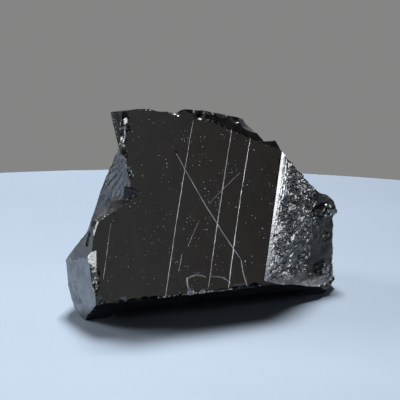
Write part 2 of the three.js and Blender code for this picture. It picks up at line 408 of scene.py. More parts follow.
def outward(azimuth: float, tilt: float) -> Vector:
    """Gives the direction at an azimuth and a tilt.

    Args:
        azimuth: where it looks, round the stone.
        tilt: how far it looks up.

    Returns:
        A vector of length one.
    """
    turn, lean = math.radians(azimuth), math.radians(tilt)
    level = math.cos(lean)
    return Vector((math.sin(turn) * level, -math.cos(turn) * level, math.sin(lean)))


def facing(azimuth: float, tilt: float, place: Vector) -> Matrix:
    """Gives a frame that stands at a place and looks outwards.

    Args:
        azimuth: where its local +Z looks, round the stone.
        tilt: how far its local +Z looks up.
        place: its origin.

    Returns:
        The matrix of the frame. Its local +X is level.
    """
    turn = math.radians(azimuth)
    normal = outward(azimuth, tilt)
    across = Vector((math.cos(turn), math.sin(turn), 0.0))
    upward = normal.cross(across)
    turned = Matrix((across, upward, normal)).transposed().to_4x4()
    return Matrix.Translation(place) @ turned


@dataclass(frozen=True)
class Facet:
    """One break: a plane with the relief that it broke with.

    A facet splits off all that lies beyond it.
    """

    azimuth: float  # where it looks, round the stone
    tilt: float  # how far it looks up
    through: tuple[float, float, float]  # a point that it goes through
    relief: Relief = Satin()  # its relief
    bulb: tuple[float, float] = (0.0, 0.0)  # the point in its own frame that ripples spread from
    lean: float = 0.0  # how far its own frame is turned from level, in degrees

    def normal(self) -> Vector:
        """Gives the direction that the facet looks in."""
        return outward(self.azimuth, self.tilt)

    def placing(self, middle: Vector) -> Matrix:
        """Gives the matrix from the facet's own frame to the stone's.

        Args:
            middle: the point whose foot on the facet is the facet's own origin.

        Returns:
            A matrix with local +Z outwards, and local +X level but for the lean.
        """
        normal = self.normal()
        foot = middle + normal * (Vector(self.through) - middle).dot(normal)
        return facing(self.azimuth, self.tilt, foot) @ Matrix.Rotation(math.radians(self.lean), 4, "Z")


POLISH, CONCHOID, GRANULAR, FLUTED, STEPPED = Polish(), Conchoid(), Granular(), Fluted(), Stepped()
# the left end's break, whose finish is lightened with painted light
LIT_SLATE = Satin(0.32, Finish.LIT_SLATE, height=0.12, length=4.0, tooth=0.07, tooth_length=0.8)
DIM = Satin(0.35, Finish.DIM, height=0.14, length=3.5, tooth=0.09, tooth_length=0.8)
BLOTCHED = Satin(0.35, Finish.DIM, height=0.16, length=2.6, tooth=0.07, tooth_length=1.2)
SHEER = Satin(0.3, Finish.SHADED, height=0.2, length=2.2, tooth=0.09, tooth_length=0.7)
# painted shade: a dull break in the darkest tone
SHADED = Satin(0.45, Finish.SHADED, height=0.14, length=5.0, tooth=0.06, tooth_length=1.1)
GLOSSY = Relief(1.0, Finish.GLASSY)
COARSE = Granular(0.18, height=0.16, swell_height=0.08, grain=0.42, lean=0.34, flatness=1.4)
HACKLY = Granular(0.3)
# painted light on the bench: its grains are given a pale tone
LIT_PALE = Granular(
    0.2, Finish.LIT_PALE, height=0.24, length=0.9, swell_height=0.14, swell_length=3.0,
    grain=0.5, lean=0.46, flatness=2.4,
)
BLOBBY = Granular(
    0.16, Finish.GLASSY, height=0.06, length=2.0, swell_height=0.12, swell_length=3.0,
    grain=1.9, lean=0.2, flatness=0.5,
)
RIBBED = Conchoid(
    0.17, Finish.RIBBED, ripple=0.03, wavelength=2.4, unevenness=0.0, wander=0.08,
    length=3.0, ray=0.11, rays=26.0,
)
STREAKED = Conchoid(
    0.24, Finish.DULL, ripple=0.03, wavelength=3.0, unevenness=0.0, wander=0.1,
    length=4.0, ray=0.1, rays=30.0,
)

FACETS: dict[str, Facet] = {
    # the polished cleavage face and the break that undercuts it
    "cleavage": Facet(0, 12, (-25.1, -14, 5), POLISH),
    "undercut": Facet(0, -45, (0, -8.9, 0)),
    # the low arch under the front edge, between a foot at the left and a foot at the right
    "arch_roof": Facet(0, -80, (0, -11.2, 2.3)),
    "arch_left": Facet(90, -25, (-24, -9, 0)),
    "arch_right": Facet(-90, -35, (22, -9, 0)),
    # the left end, with a shoulder above it and a heel behind it
    "left_end": Facet(-78, 0, (-29.85, -8.8, 0), LIT_SLATE),
    "left_cheek": Facet(-84, -1.8, (-30.55, -6.8, 7.9), DIM),
    "left_heel": Facet(-141, -71, (-29.85, -8.8, 0)),
    "left_heel_top": Facet(-141, -32, (-31.1, -1.9, 4.5)),
    "left_back": Facet(-125, -5, (-31, 0, 10.5), CONCHOID, (4, -12)),
    "shoulder": Facet(-81.7, 15.6, (-29.7, -9.6, 14.2), BLOTCHED),
    "shoulder_roof": Facet(-60, -75, (-26, -8, 26)),
    "shoulder_back": Facet(-133.4, 41.5, (-31.4, -1.3, 12.2)),
    # the hollow in the upper left side
    "wall": Facet(-58.7, 2.7, (-19.44, -8.35, 31.6), STREAKED, (-1, 12)),
    "ledge": Facet(-68.6, 62.8, (-16.6, -9.2, 27.4), RIBBED, (4.4, -14.5)),
    "ledge_bowl": Facet(-47.5, 44.7, (-16.7, -9.24, 27.4), RIBBED, (4, -16)),
    "ledge_back": Facet(-120, 39, (-21.5, -5.4, 26.4), SHADED),
    "overhang": Facet(-50, -52, (-19.3, -8.8, 29), SHADED),
    "bite_wall": Facet(-26, 5, (-16.6, -9.1, 27.4), SHADED),
    "ledge_end": Facet(-110.6, 17.6, (-28.2, -7.9, 20.1)),
    "hollow_back": Facet(-129, 25, (-25.3, 0, 21.5), CONCHOID, (14, 20)),
    "horn_under": Facet(-153, -43, (-20.1, -3.5, 39)),
    "upper_band": Facet(-44, 15.5, (-18.4, -5.6, 44.6), BLOBBY),
    "upper_left": Facet(-82, 11.7, (-19.4, -4.7, 44.5), SHEER),
    # the top
    "top": Facet(163, 74.4, (-15.8, -5.5, 45)),
    "horn_top": Facet(-158.6, 77.6, (-16.1, -5.5, 45.1)),
    "top_bevel": Facet(12.3, 34.3, (-2.2, -6.06, 42.3), SHADED),
    "top_back": Facet(126.5, 70.4, (-1.8, -5, 43.7), CONCHOID, (10, -10)),
    "ridge_end": Facet(105.5, 24.2, (10.7, -5.2, 38.2), CONCHOID, (2, 30)),
    "corner_top": Facet(185, 72, (15, -7.35, 36.1), SHADED),
    "corner_end": Facet(92, 24.4, (14.9, -7.4, 36.2), SHADED),
    # the right side: a fluted bevel, a grainy break behind it, and the bench below
    "slope": Facet(117, 48, (16.3, -7.9, 33.4)),
    "fluted": Facet(23.5, 5.9, (9.79, -13.89, 5.5), FLUTED, lean=-16.4),
    "grainy": Facet(33, 2.5, (12.3, -12.5, 6), GRANULAR),
    "set_back": Facet(5, 8, (26.6, -3, 15), STEPPED),
    "bench": Facet(47, 69, (17.43, -9.47, 5.1), LIT_PALE),
    "right_end": Facet(86, -1, (31.3, 0, 20), STEPPED),
    "right_heel": Facet(55, -40, (28, -6.4, 0)),
    # the back
    "back_face": Facet(172, 14, (2, 20, 12), STEPPED),
    "back_left": Facet(-148, 12, (-20, 14, 10), CONCHOID, (12, 18)),
    "back_right": Facet(128, 10, (25, 12, 10), HACKLY),
    "back_top": Facet(178, 50, (-4, 8, 37), CONCHOID, (-16, 14)),
    "back_heel": Facet(180, -40, (0, 15, 0)),
    "stair_wall": Facet(146, 6, (8, 15, 24), HACKLY),
    "stair_tread": Facet(-170, 66, (6, 16, 22.5)),
}

# What splits off, in order: beyond one facet, or beyond all the facets that bound a notch at once.
BREAKS: list[tuple[str, ...]] = [
    ("cleavage",), ("undercut",), ("arch_roof", "arch_left", "arch_right"),
    ("left_end",), ("left_cheek",), ("left_heel",), ("left_heel_top",), ("left_back",),
    ("shoulder", "shoulder_roof"), ("wall", "ledge", "ledge_bowl", "horn_under"),
    ("wall", "ledge_back", "horn_under"), ("overhang", "ledge", "ledge_bowl", "bite_wall"),
    ("shoulder_back", "hollow_back", "horn_under"), ("shoulder_back", "ledge_end", "horn_under"),
    ("upper_band", "ledge"), ("upper_left", "ledge"), ("top",), ("horn_top",), ("top_bevel",),
    ("top_back",), ("ridge_end", "corner_top"), ("slope", "corner_end"), ("fluted", "bench"),
    ("grainy", "set_back", "bench"), ("right_end",), ("right_heel",), ("back_face",), ("back_left",),
    ("back_right",), ("back_top",), ("back_heel",), ("stair_wall", "stair_tread"),
]


@dataclass(frozen=True)
class Flake:
    """A bevel of limited length, where a flake came off an edge."""

    azimuth: float  # where the bevel looks, round the stone
    tilt: float  # how far it looks up
    at: tuple[float, float, float]  # its middle
    width: float  # its size across
    length: float  # its size upwards, before the flare
    spin: float  # how far it is turned in its own plane, in degrees
    flare: float  # how much longer it gets to its right, by that share for each millimetre
    relief: Relief  # its relief
    depth: float = 6.0  # thickness of what comes off


@dataclass(frozen=True)
class ChipRow:
    """Shallow flake scars spread along an edge."""

    start: tuple[float, float, float]  # where the row starts
    end: tuple[float, float, float]  # where it ends
    azimuth: float  # where the row looks, round the stone
    tilt: float  # how far it looks up
    count: int  # how many scars it has
    radius: float  # radius of the balls that hollow them out, roughly
    depth: float  # how far the balls sink in, roughly
    finish: Finish = Finish.CHIPPED  # finish of the scars


@dataclass(frozen=True)
class Lump:
    """An angular lump left standing."""

    at: tuple[float, float, float]  # its middle
    radius: float  # its radius before the squash
    squash: tuple[float, float, float]  # its stretch along each axis
    turn: float  # how far it is turned, in degrees
    grain: float = 0.8  # size of the grains in its skin
    lean: float = 0.1  # how far the grains tip
    finish: Finish = Finish.CHIPPED  # its finish


@dataclass(frozen=True)
class Scratch:
    """A scratch in the cleavage face."""

    start: tuple[float, float]  # where it starts, in the facet's own frame
    end: tuple[float, float]  # where it ends
    width: float  # its width
    depth: float  # its depth
    bow: float = 0.0  # how far its middle bends sideways
    patchiness: float = 0.5  # how far its depth varies, so that it breaks up
    lift: float = 0.04  # how far its cutter reaches above the face
    step: float = 0.35  # distance between the points along it


@dataclass(frozen=True)
class Pits:
    """Tiny pits in the cleavage face, in drifts."""

    low: tuple[float, float]  # lowest corner of the patch, in the facet's own frame
    high: tuple[float, float]  # its highest corner
    spacing: float  # distance between places where there may be a pit
    share: float  # how many of the places have one
    size: tuple[float, float]  # the least and the most radius


FLAKES: list[Flake] = [
    Flake(-86, 34, (-27.9, -9, 21), 4, 2.6, 0, 0, SHADED),
    Flake(-45.5, 25.5, (-27.4, -10.3, 21.4), 4, 4.4, 0, 0, GLOSSY),
    Flake(-37.7, 12.5, (-28.8, -12.25, 10.3), 4, 4.6, -30, 0, COARSE),
    Flake(-44.7, 11, (-28.7, -11.2, 14.6), 4.6, 3, -8.7, 0.38, GLOSSY),
    Flake(-8, 9, (-27.7, -13.5, 7.6), 4.4, 7, 21, 0, COARSE),
]

CHIP_ROWS: list[ChipRow] = [
    ChipRow((-25, -14, 5), (-8, -14, 5), 0, -18, 6, 3.4, 0.3, Finish.SHADED),
    ChipRow((-3.2, -14.1, 4.5), (-3.2, -14.1, 4.5), 0, 12, 1, 17, 0.5, Finish.CLEAVAGE),
    ChipRow((2, -13.9, 5), (9, -13.9, 5.2), 5, -12, 3, 4, 0.4, Finish.SHADED),
    # the sag in the top edge, which runs back across the top
    ChipRow((-10, -6, 44.7), (-6.4, 4, 42.1), 170, 75, 5, 9, 0.8, Finish.SHADED),
    ChipRow((-8, -6, 43.9), (-4.4, 4, 41.3), 170, 75, 8, 1.8, 0.7, Finish.SHADED),
    ChipRow((-3.2, -5.4, 43.6), (-1.6, -5.6, 43), 10, 50, 1, 2, 1.3, Finish.SHADED),
    ChipRow((0, -5, 43.2), (7, -5.6, 40.4), 20, 60, 3, 3, 0.5, Finish.SHADED),
    ChipRow((9.8, -4.6, 39.5), (11, 0, 38.6), 105, 35, 4, 4.5, 0.8, Finish.GLASSY),
    ChipRow((-26.6, -14, 4.2), (-29.6, -9.4, 0.6), -40, -25, 3, 1.5, 0.25, Finish.SHADED),
    ChipRow((24, -12, 3.8), (31, -4.6, 4.5), 40, 0, 4, 3, 0.5),
    ChipRow((17, -8, 33), (27, -2.4, 22.6), 60, 35, 5, 2.6, 0.5),
    ChipRow((19, 17.5, 6), (17, 14, 24), 150, 12, 4, 6, 0.6),
    ChipRow((-14, 5, 40), (6, 6, 38), 180, 62, 4, 6, 0.5),
    # small nibbles along the sharp edges
    ChipRow((-25, -14, 5), (9.4, -13.9, 5.3), 0, -15, 36, 0.7, 0.18),
    ChipRow((-25, -14, 5), (9.4, -13.9, 5.3), 0, -5, 34, 0.4, 0.14, Finish.CRUSHED),
    ChipRow((-16, -5.5, 45), (-3, -5.6, 44.2), 0, 40, 14, 0.6, 0.2),
    ChipRow((-2, -6.1, 41.8), (15, -7.3, 36.2), 0, 45, 14, 0.6, 0.16, Finish.SHADED),
    ChipRow((-18.4, -5.6, 44.6), (-19.9, -7.4, 36), -20, 12, 5, 1.4, 0.35, Finish.SHADED),
    ChipRow((-20.2, -0.5, 43.7), (-20, -1.8, 44.2), -110, 45, 2, 1.3, 0.5, Finish.SHADED),
    ChipRow((-19.9, -1.8, 44.4), (-19.35, -4.6, 44.75), -70, 50, 5, 0.4, 0.12, Finish.CRUSHED),
    ChipRow((-20.3, -0.8, 42.6), (-20.5, -5.2, 38.8), -120, 0, 5, 0.5, 0.15, Finish.CHIPPED),
    # bright chips at the foot and the left of the shell-like scar, and at the sag; the pale crushed tone
    # of the first two rows is partly crushed carbon and partly a painted highlight
    ChipRow((-7.3, -13.7, 5.3), (-6.6, -13.6, 5.3), -30, 18, 2, 0.8, 0.4, Finish.CRUSHED),
    ChipRow((-4.5, -13.6, 5.2), (-4.1, -13.6, 5.2), -30, 18, 1, 0.8, 0.4, Finish.CRUSHED),
    ChipRow((7.2, -4.9, 40.7), (9.6, -5.2, 39.4), 50, 45, 2, 6, 0.7, Finish.DULL),
    ChipRow((-19.3, -8, 33), (-18.4, -8.5, 31), -30, 10, 3, 0.7, 0.3, Finish.GLASSY),
    ChipRow((-7.6, -5.7, 43.9), (-6.9, -5.9, 43.3), -50, 30, 3, 0.7, 0.3, Finish.GLASSY),
    ChipRow((-26.3, -10, 23.6), (-17, -9.3, 27.2), -10, 40, 14, 0.35, 0.14),
    ChipRow((-22.4, -9.8, 25.1), (-19, -9.4, 26.4), -10, 40, 5, 0.55, 0.2, Finish.CRUSHED),
    ChipRow((-31.4, -1.3, 12.2), (-28.2, -7.9, 20.1), -100, 35, 8, 0.7, 0.25),
    # darker patches and a nibbled edge on the left end, and the hollow in the edge of the right end
    ChipRow((-30.4, -6.6, 2.6), (-31, -3.2, 9.4), -80, 0, 4, 6, 0.16, Finish.DIM),
    ChipRow((-30, -7.6, 3), (-30.8, -4.6, 8), -80, 0, 4, 2.4, 0.12, Finish.DULL),
    ChipRow((-28.6, -8.8, 16.6), (-27.9, -8.9, 19.6), -82, 15.6, 4, 0.9, 0.2, Finish.SHADED),
    ChipRow((-31.7, -1.2, 11.4), (-31.2, -1.9, 4.5), -110, 0, 6, 0.9, 0.3, Finish.DIM),
    ChipRow((31, -4.5, 9), (31, -4, 13), 60, 0, 1, 9, 0.8, Finish.STEPPED),
]


PITS: list[Pits] = [
    Pits((-27, -19.5), (-8, 19), 0.8, 0.14, (0.03, 0.1)),
    Pits((-8, -19.5), (15.5, 17), 0.75, 0.18, (0.03, 0.11)),
]

LUMPS: list[Lump] = [
    Lump((28.4, 1.9, 17.3), 4.4, (1.05, 1.35, 0.76), 20, finish=Finish.CHIPPED),
    Lump((28.5, 1.4, 11), 4, (0.8, 1.3, 0.9), 8, finish=Finish.STEPPED),
    Lump((27.9, -1.2, 4.5), 3.7, (0.85, 1.3, 0.72), -6, finish=Finish.DULL),
]

SCRATCHES: list[Scratch] = [
    Scratch((-23.9, -1.8), (-26.8, -15), 0.13, 0.04, patchiness=1.0),
    Scratch((-3.9, 17.7), (-13.2, -20.4), 0.19, 0.08, 0.2, 0.6),
    Scratch((5, 15.5), (-3.2, -19.2), 0.21, 0.1, 0.15, 0.4),
    Scratch((9.1, 13), (1.4, -20.1), 0.22, 0.08, 0.3, 1.0),
    Scratch((-8.4, 11.1), (5, -13.8), 0.24, 0.12, 0.45, 0.7),
    Scratch((4.9, -13.6), (6.1, -20.2), 0.26, 0.12, 0.25, 1.2),
    Scratch((6.2, 5.5), (-1.8, -0.9), 0.19, 0.08, 0.1, 0.6),
    Scratch((-4, -3.9), (-7.2, -9.7), 0.14, 0.04, 0.1, 1.1),
    Scratch((-8.6, -11), (-9.7, -14.8), 0.13, 0.04, 0.0, 1.1),
    # the rim of the shell-like scar at the bottom
    Scratch((-6.6, -20.2), (-7.9, -16.2), 0.4, 0.16, -0.5, 0.8),
    Scratch((-8, -16.6), (-3.3, -16.7), 0.42, 0.14, -0.7, 1.1),
    Scratch((-2.4, -16.6), (2.2, -18.6), 0.34, 0.1, -0.6, 1.3),
    Scratch((-6.2, -19.9), (-2.6, -19.6), 0.3, 0.1, 0.15, 1.2),
]


def into_scene(thing: bpy.types.Object) -> bpy.types.Object:
    """Puts an object into the scene and gives it back."""
    bpy.context.scene.collection.objects.link(thing)
    return thing


def as_object(
    name: str, bm: bmesh.types.BMesh, materials: Iterable[bpy.types.Material]
) -> bpy.types.Object:
    """Makes an object of a bmesh and puts it into the scene.

    Args:
        name: name of the object and its mesh.
        bm: the bmesh, which is freed.
        materials: what its slots hold, in order.

    Returns:
        The new object.
    """
    mesh = bpy.data.meshes.new(name)
    bm.to_mesh(mesh)
    bm.free()
    for material in materials:
        mesh.materials.append(material)
    return into_scene(bpy.data.objects.new(name, mesh))


def new_points(made: dict) -> list[bmesh.types.BMVert]:
    """Gives the points among what an extrusion made."""
    return [item for item in made["geom"] if isinstance(item, bmesh.types.BMVert)]


def grid(counts: tuple[int, int], size: tuple[float, float]) -> bmesh.types.BMesh:
    """Makes a level grid about the origin.

    Args:
        counts: how many cells it has across and upwards.
        size: its size across and upwards.

    Returns:
        A new bmesh.
    """
    bm = bmesh.new()
    bmesh.ops.create_grid(bm, x_segments=counts[0], y_segments=counts[1], size=0.5)
    bmesh.ops.scale(bm, vec=(size[0], size[1], 1), verts=bm.verts)
    return bm


def thicken(bm: bmesh.types.BMesh, depth: float) -> None:
    """Makes a closed slab of a sheet.

    Args:
        bm: the sheet.
        depth: thickness of the slab, along +Z.
    """
    far = new_points(bmesh.ops.extrude_face_region(bm, geom=bm.faces[:]))
    bmesh.ops.translate(bm, vec=(0, 0, depth), verts=far)
    bmesh.ops.recalc_face_normals(bm, faces=bm.faces)


@dataclass
class Workbench:
    """Turns bmeshes into objects and lets one closed mesh cut another."""

    materials: list[bpy.types.Material]  # the stone's materials, in the order of the finishes

    def put(self, name: str, bm: bmesh.types.BMesh, finish: Finish) -> bpy.types.Object:
        """Makes an object of a bmesh, with one finish all over.

        Args:
            name: name of the object.
            bm: the mesh, which is freed.
            finish: the finish of all its faces.

        Returns:
            The new object.
        """
        for face in bm.faces:
            face.material_index = finish.value
        return as_object(name, bm, self.materials)

    def copy(self, thing: bpy.types.Object) -> bpy.types.Object:
        """Makes a second object with a mesh of its own.

        Args:
            thing: the object to copy.

        Returns:
            The copy.
        """
        twin = thing.copy()
        twin.data = thing.data.copy()
        return into_scene(twin)

    def cut(self, body: bpy.types.Object, tool: bpy.types.Object, how: Cut) -> None:
        """Lets a tool cut a body, which keeps the result.

        Args:
            body: the object that changes.
            tool: the object that cuts it.
            how: what the tool does.
        """
        modifier = body.modifiers.new("cut", "BOOLEAN")
        modifier.operation = how.value
        modifier.solver = "MANIFOLD"
        modifier.object = tool
        graph = bpy.context.evaluated_depsgraph_get()
        mesh = bpy.data.meshes.new_from_object(body.evaluated_get(graph))
        body.modifiers.clear()
        worn, body.data = body.data, mesh
        bpy.data.meshes.remove(worn)

    def use_up(self, body: bpy.types.Object, tool: bpy.types.Object, how: Cut) -> None:
        """Lets a tool cut a body, and then takes the tool off the bench."""
        self.cut(body, tool, how)
        self.clear([tool])

    def clear(self, things: Iterable[bpy.types.Object]) -> None:
        """Takes objects and their meshes off the bench."""
        for thing in list(things):
            bpy.data.meshes.remove(thing.data)


@dataclass
class Marks:
    """Makes the small solids that are taken off the stone, or left standing on it."""

    bench: Workbench  # where the solids are put
    cleavage: Matrix  # the matrix from the cleavage face's own frame to the stone's
    # the least share of its radius that a chip's ball has, and how much more it may have
    chip_size: tuple[float, float] = (0.65, 0.6)
    chip_sunk: tuple[float, float] = (0.5, 0.9)  # the same for how far it is sunk
    chip_dents: float = 0.05  # height of the dents in the balls, in radii
    # each the most radius of a row and the fineness of its balls
    chip_fineness: tuple[tuple[float, int], ...] = ((1.5, 2), (6.0, 3), (math.inf, 6))
    row_stride: int = 40  # how many chips a row may have
    patch_stride: int = 5000  # how many places for a pit a patch may have
    lump_cuts: int = 13  # how finely a lump is divided
    lump_roundness: float = 0.6  # how far it is from angular to round
    # height and fineness of each layer of its bulges
    lump_bulges: tuple[tuple[float, float], ...] = ((0.1, 0.4), (0.06, 1.1))
    wedge: float = 0.8  # thickness of a scratch's cutter above the face
    ends: float = 12.0  # how fast a scratch widens from its ends
    stretch: float = 3.0  # how much longer than wide a pit may be
    pit_rise: float = 0.35  # how far the middle of its ball is above the face, in radii
    # the least share of pits, the middle share, and how far it changes
    drift: tuple[float, float, float] = (0.05, 0.45, 1.9)
    drift_rate: float = 0.23  # how fast it changes, in places for a pit

    def flake(self, flake: Flake, row: int) -> bpy.types.Object:
        """Makes the solid that a flake takes off.

        Args:
            flake: the flake.
            row: its number.

        Returns:
            A slab of limited length with relief on its near side.
        """
        cell = flake.relief.cell
        counts = (math.ceil(flake.width / cell), math.ceil(flake.length / cell))
        bm = grid(counts, (flake.width, flake.length))
        for vert in bm.verts:
            vert.co.z = flake.relief.rise(Spot(vert.co.x, vert.co.y, (0, 0), row + 1))
            vert.co.y *= 1 + flake.flare * vert.co.x
        thicken(bm, flake.depth)
        spin = Matrix.Rotation(math.radians(flake.spin), 3, "Z")
        bmesh.ops.rotate(bm, matrix=spin, verts=bm.verts)
        place = facing(flake.azimuth, flake.tilt, Vector(flake.at))
        bmesh.ops.transform(bm, matrix=place, verts=bm.verts)
        return self.bench.put("flake", bm, flake.relief.finish)

    def chip(self, row: ChipRow, step: int, share: float) -> bpy.types.Object:
        """Makes one rounded cutter of a row.

        Args:
            row: the row of chips.
            step: number that sets this chip apart.
            share: how far along the row it stands, from 0 to 1.

        Returns:
            An uneven ball, sunk into the edge by its own share of the depth.
        """
        size = row.radius * (self.chip_size[0] + self.chip_size[1] * scatter(step + 0.5))
        sunk = row.depth * (self.chip_sunk[0] + self.chip_sunk[1] * scatter(step + 0.3))
        place = Vector(row.start).lerp(Vector(row.end), share)
        place += outward(row.azimuth, row.tilt) * (size - sunk)
        fineness = next(fine for most, fine in self.chip_fineness if row.radius < most)
        bm = bmesh.new()
        bmesh.ops.create_icosphere(bm, subdivisions=fineness, radius=size)
        for vert in bm.verts:
            vert.co *= 1 + self.chip_dents * noise.noise(vert.co / size * 2 + Vector((step, 0, 0)))
        turn = Matrix.Rotation(scatter(step + 0.7) * math.pi, 3, "X")
        turn = Matrix.Rotation(scatter(step + 0.9) * math.pi, 3, "Z") @ turn
        bmesh.ops.rotate(bm, matrix=turn, verts=bm.verts)
        bmesh.ops.translate(bm, vec=place, verts=bm.verts)
        return self.bench.put("chip", bm, row.finish)

    def chips(self) -> bpy.types.Object:
        """Joins the cutters of all the rows into one tool.

        Returns:
            The tool.
        """
        tool: Optional[bpy.types.Object] = None
        for number, row in enumerate(CHIP_ROWS):
            for i in range(row.count):
                step = number * self.row_stride + i
                share = (i + 0.2 + 0.6 * scatter(step)) / row.count
                ball = self.chip(row, step, share)
                if tool is None:
                    tool = ball
                else:
                    self.bench.use_up(tool, ball, Cut.JOIN)
        return tool

    def lump(self, lump: Lump) -> bpy.types.Object:
        """Makes an angular lump with a grainy skin.

        Args:
            lump: the lump.

        Returns:
            The lump, in place.
        """
        bm = bmesh.new()
        bmesh.ops.create_icosphere(bm, subdivisions=1, radius=lump.radius)
        bmesh.ops.subdivide_edges(bm, edges=bm.edges, cuts=self.lump_cuts, use_grid_fill=True)
        for vert in bm.verts:
            vert.co = vert.co.lerp(vert.co.normalized() * lump.radius, self.lump_roundness)
            bulge = sum(height * noise.noise(vert.co * fine) for height, fine in self.lump_bulges)
            away, tip = grain_at(vert.co / lump.grain)
            vert.co *= 1 + bulge + lump.lean * away.dot(tip)
        turn = math.radians(lump.turn)
        bmesh.ops.rotate(bm, matrix=Matrix.Rotation(turn, 3, "X"), verts=bm.verts)
        bmesh.ops.scale(bm, vec=lump.squash, verts=bm.verts)
        bmesh.ops.rotate(bm, matrix=Matrix.Rotation(turn, 3, "Z"), verts=bm.verts)
        bmesh.ops.translate(bm, vec=lump.at, verts=bm.verts)
        return self.bench.put("lump", bm, lump.finish)

    def scratch(self, mark: Scratch, number: int) -> bpy.types.Object:
        """Makes the cutter of one scratch: a long ragged wedge.

        Args:
            mark: the scratch.
            number: number that sets it apart.

        Returns:
            The wedge, in place on the cleavage face.
        """
        start, end = Vector(mark.start), Vector(mark.end)
        run = end - start
        bm = grid((2, math.ceil(run.length / mark.step)), (1, 1))
        for vert in bm.verts:
            share, side = vert.co.y + 0.5, vert.co.x * 2
            along = share * run.length
            taper = min(1.0, self.ends * share, self.ends * (1 - share)) ** 0.5
            ragged = rough(along, number * 9.0, 1.3, 2.0)
            keel = mark.depth * (taper * 1.1 - 0.1 + mark.patchiness * ragged)
            vert.co.x = side * mark.width / 2 * (0.5 + 0.5 * taper) * (1 + 0.3 * ragged)
            vert.co.x += mark.bow * 4 * share * (1 - share) + 0.06 * rough(along, number * 5.0, 2.5, 4.0)
            vert.co.y = along
            vert.co.z = -keel if abs(side) < 0.5 else mark.lift
        thicken(bm, self.wedge)
        turn = math.atan2(run.y, run.x) - math.pi / 2
        lay = Matrix.Translation((start.x, start.y, 0)) @ Matrix.Rotation(turn, 4, "Z")
        bmesh.ops.transform(bm, matrix=self.cleavage @ lay, verts=bm.verts)
        return self.bench.put("scratch", bm, Finish.CRUSHED)

    def pits(self, patch: Pits, number: int) -> bpy.types.Object:
        """Makes the cutters of a patch of pits, none of which touch.

        Args:
            patch: the patch.
            number: number that sets it apart.

        Returns:
            One object with a small stretched ball for each pit, in place on the cleavage face.
        """
        bm = bmesh.new()
        columns = int((patch.high[0] - patch.low[0]) / patch.spacing)
        rows = int((patch.high[1] - patch.low[1]) / patch.spacing)
        least, middle, change = self.drift
        for step in range(columns * rows):
            column, row = step % columns, step // columns
            seed = number * self.patch_stride + step
            where = Vector((column * self.drift_rate, row * self.drift_rate, number * 4.0))
            drift = max(least, middle + change * noise.noise(where))
            if scatter(seed) > patch.share * 2 * drift:
                continue
            size = patch.size[0] + (patch.size[1] - patch.size[0]) * scatter(seed + 0.4) ** 2
            stretch = min(1 + self.stretch * scatter(seed + 0.2) ** 3, 0.24 * patch.spacing / size)
            u = patch.low[0] + (column + 0.25 + 0.5 * scatter(seed + 0.1)) * patch.spacing
            v = patch.low[1] + (row + 0.25 + 0.5 * scatter(seed + 0.6)) * patch.spacing
            turn = Matrix.Rotation(scatter(seed + 0.8) * math.pi, 4, "Z")
            spot = Matrix.Translation((u, v, size * self.pit_rise))
            lay = spot @ turn @ Matrix.Diagonal((stretch, 1, 1, 1))
            bmesh.ops.create_icosphere(bm, subdivisions=1, radius=size, matrix=self.cleavage @ lay)
        return self.bench.put("pits", bm, Finish.CRUSHED)


Window = tuple[Vector, Vector]


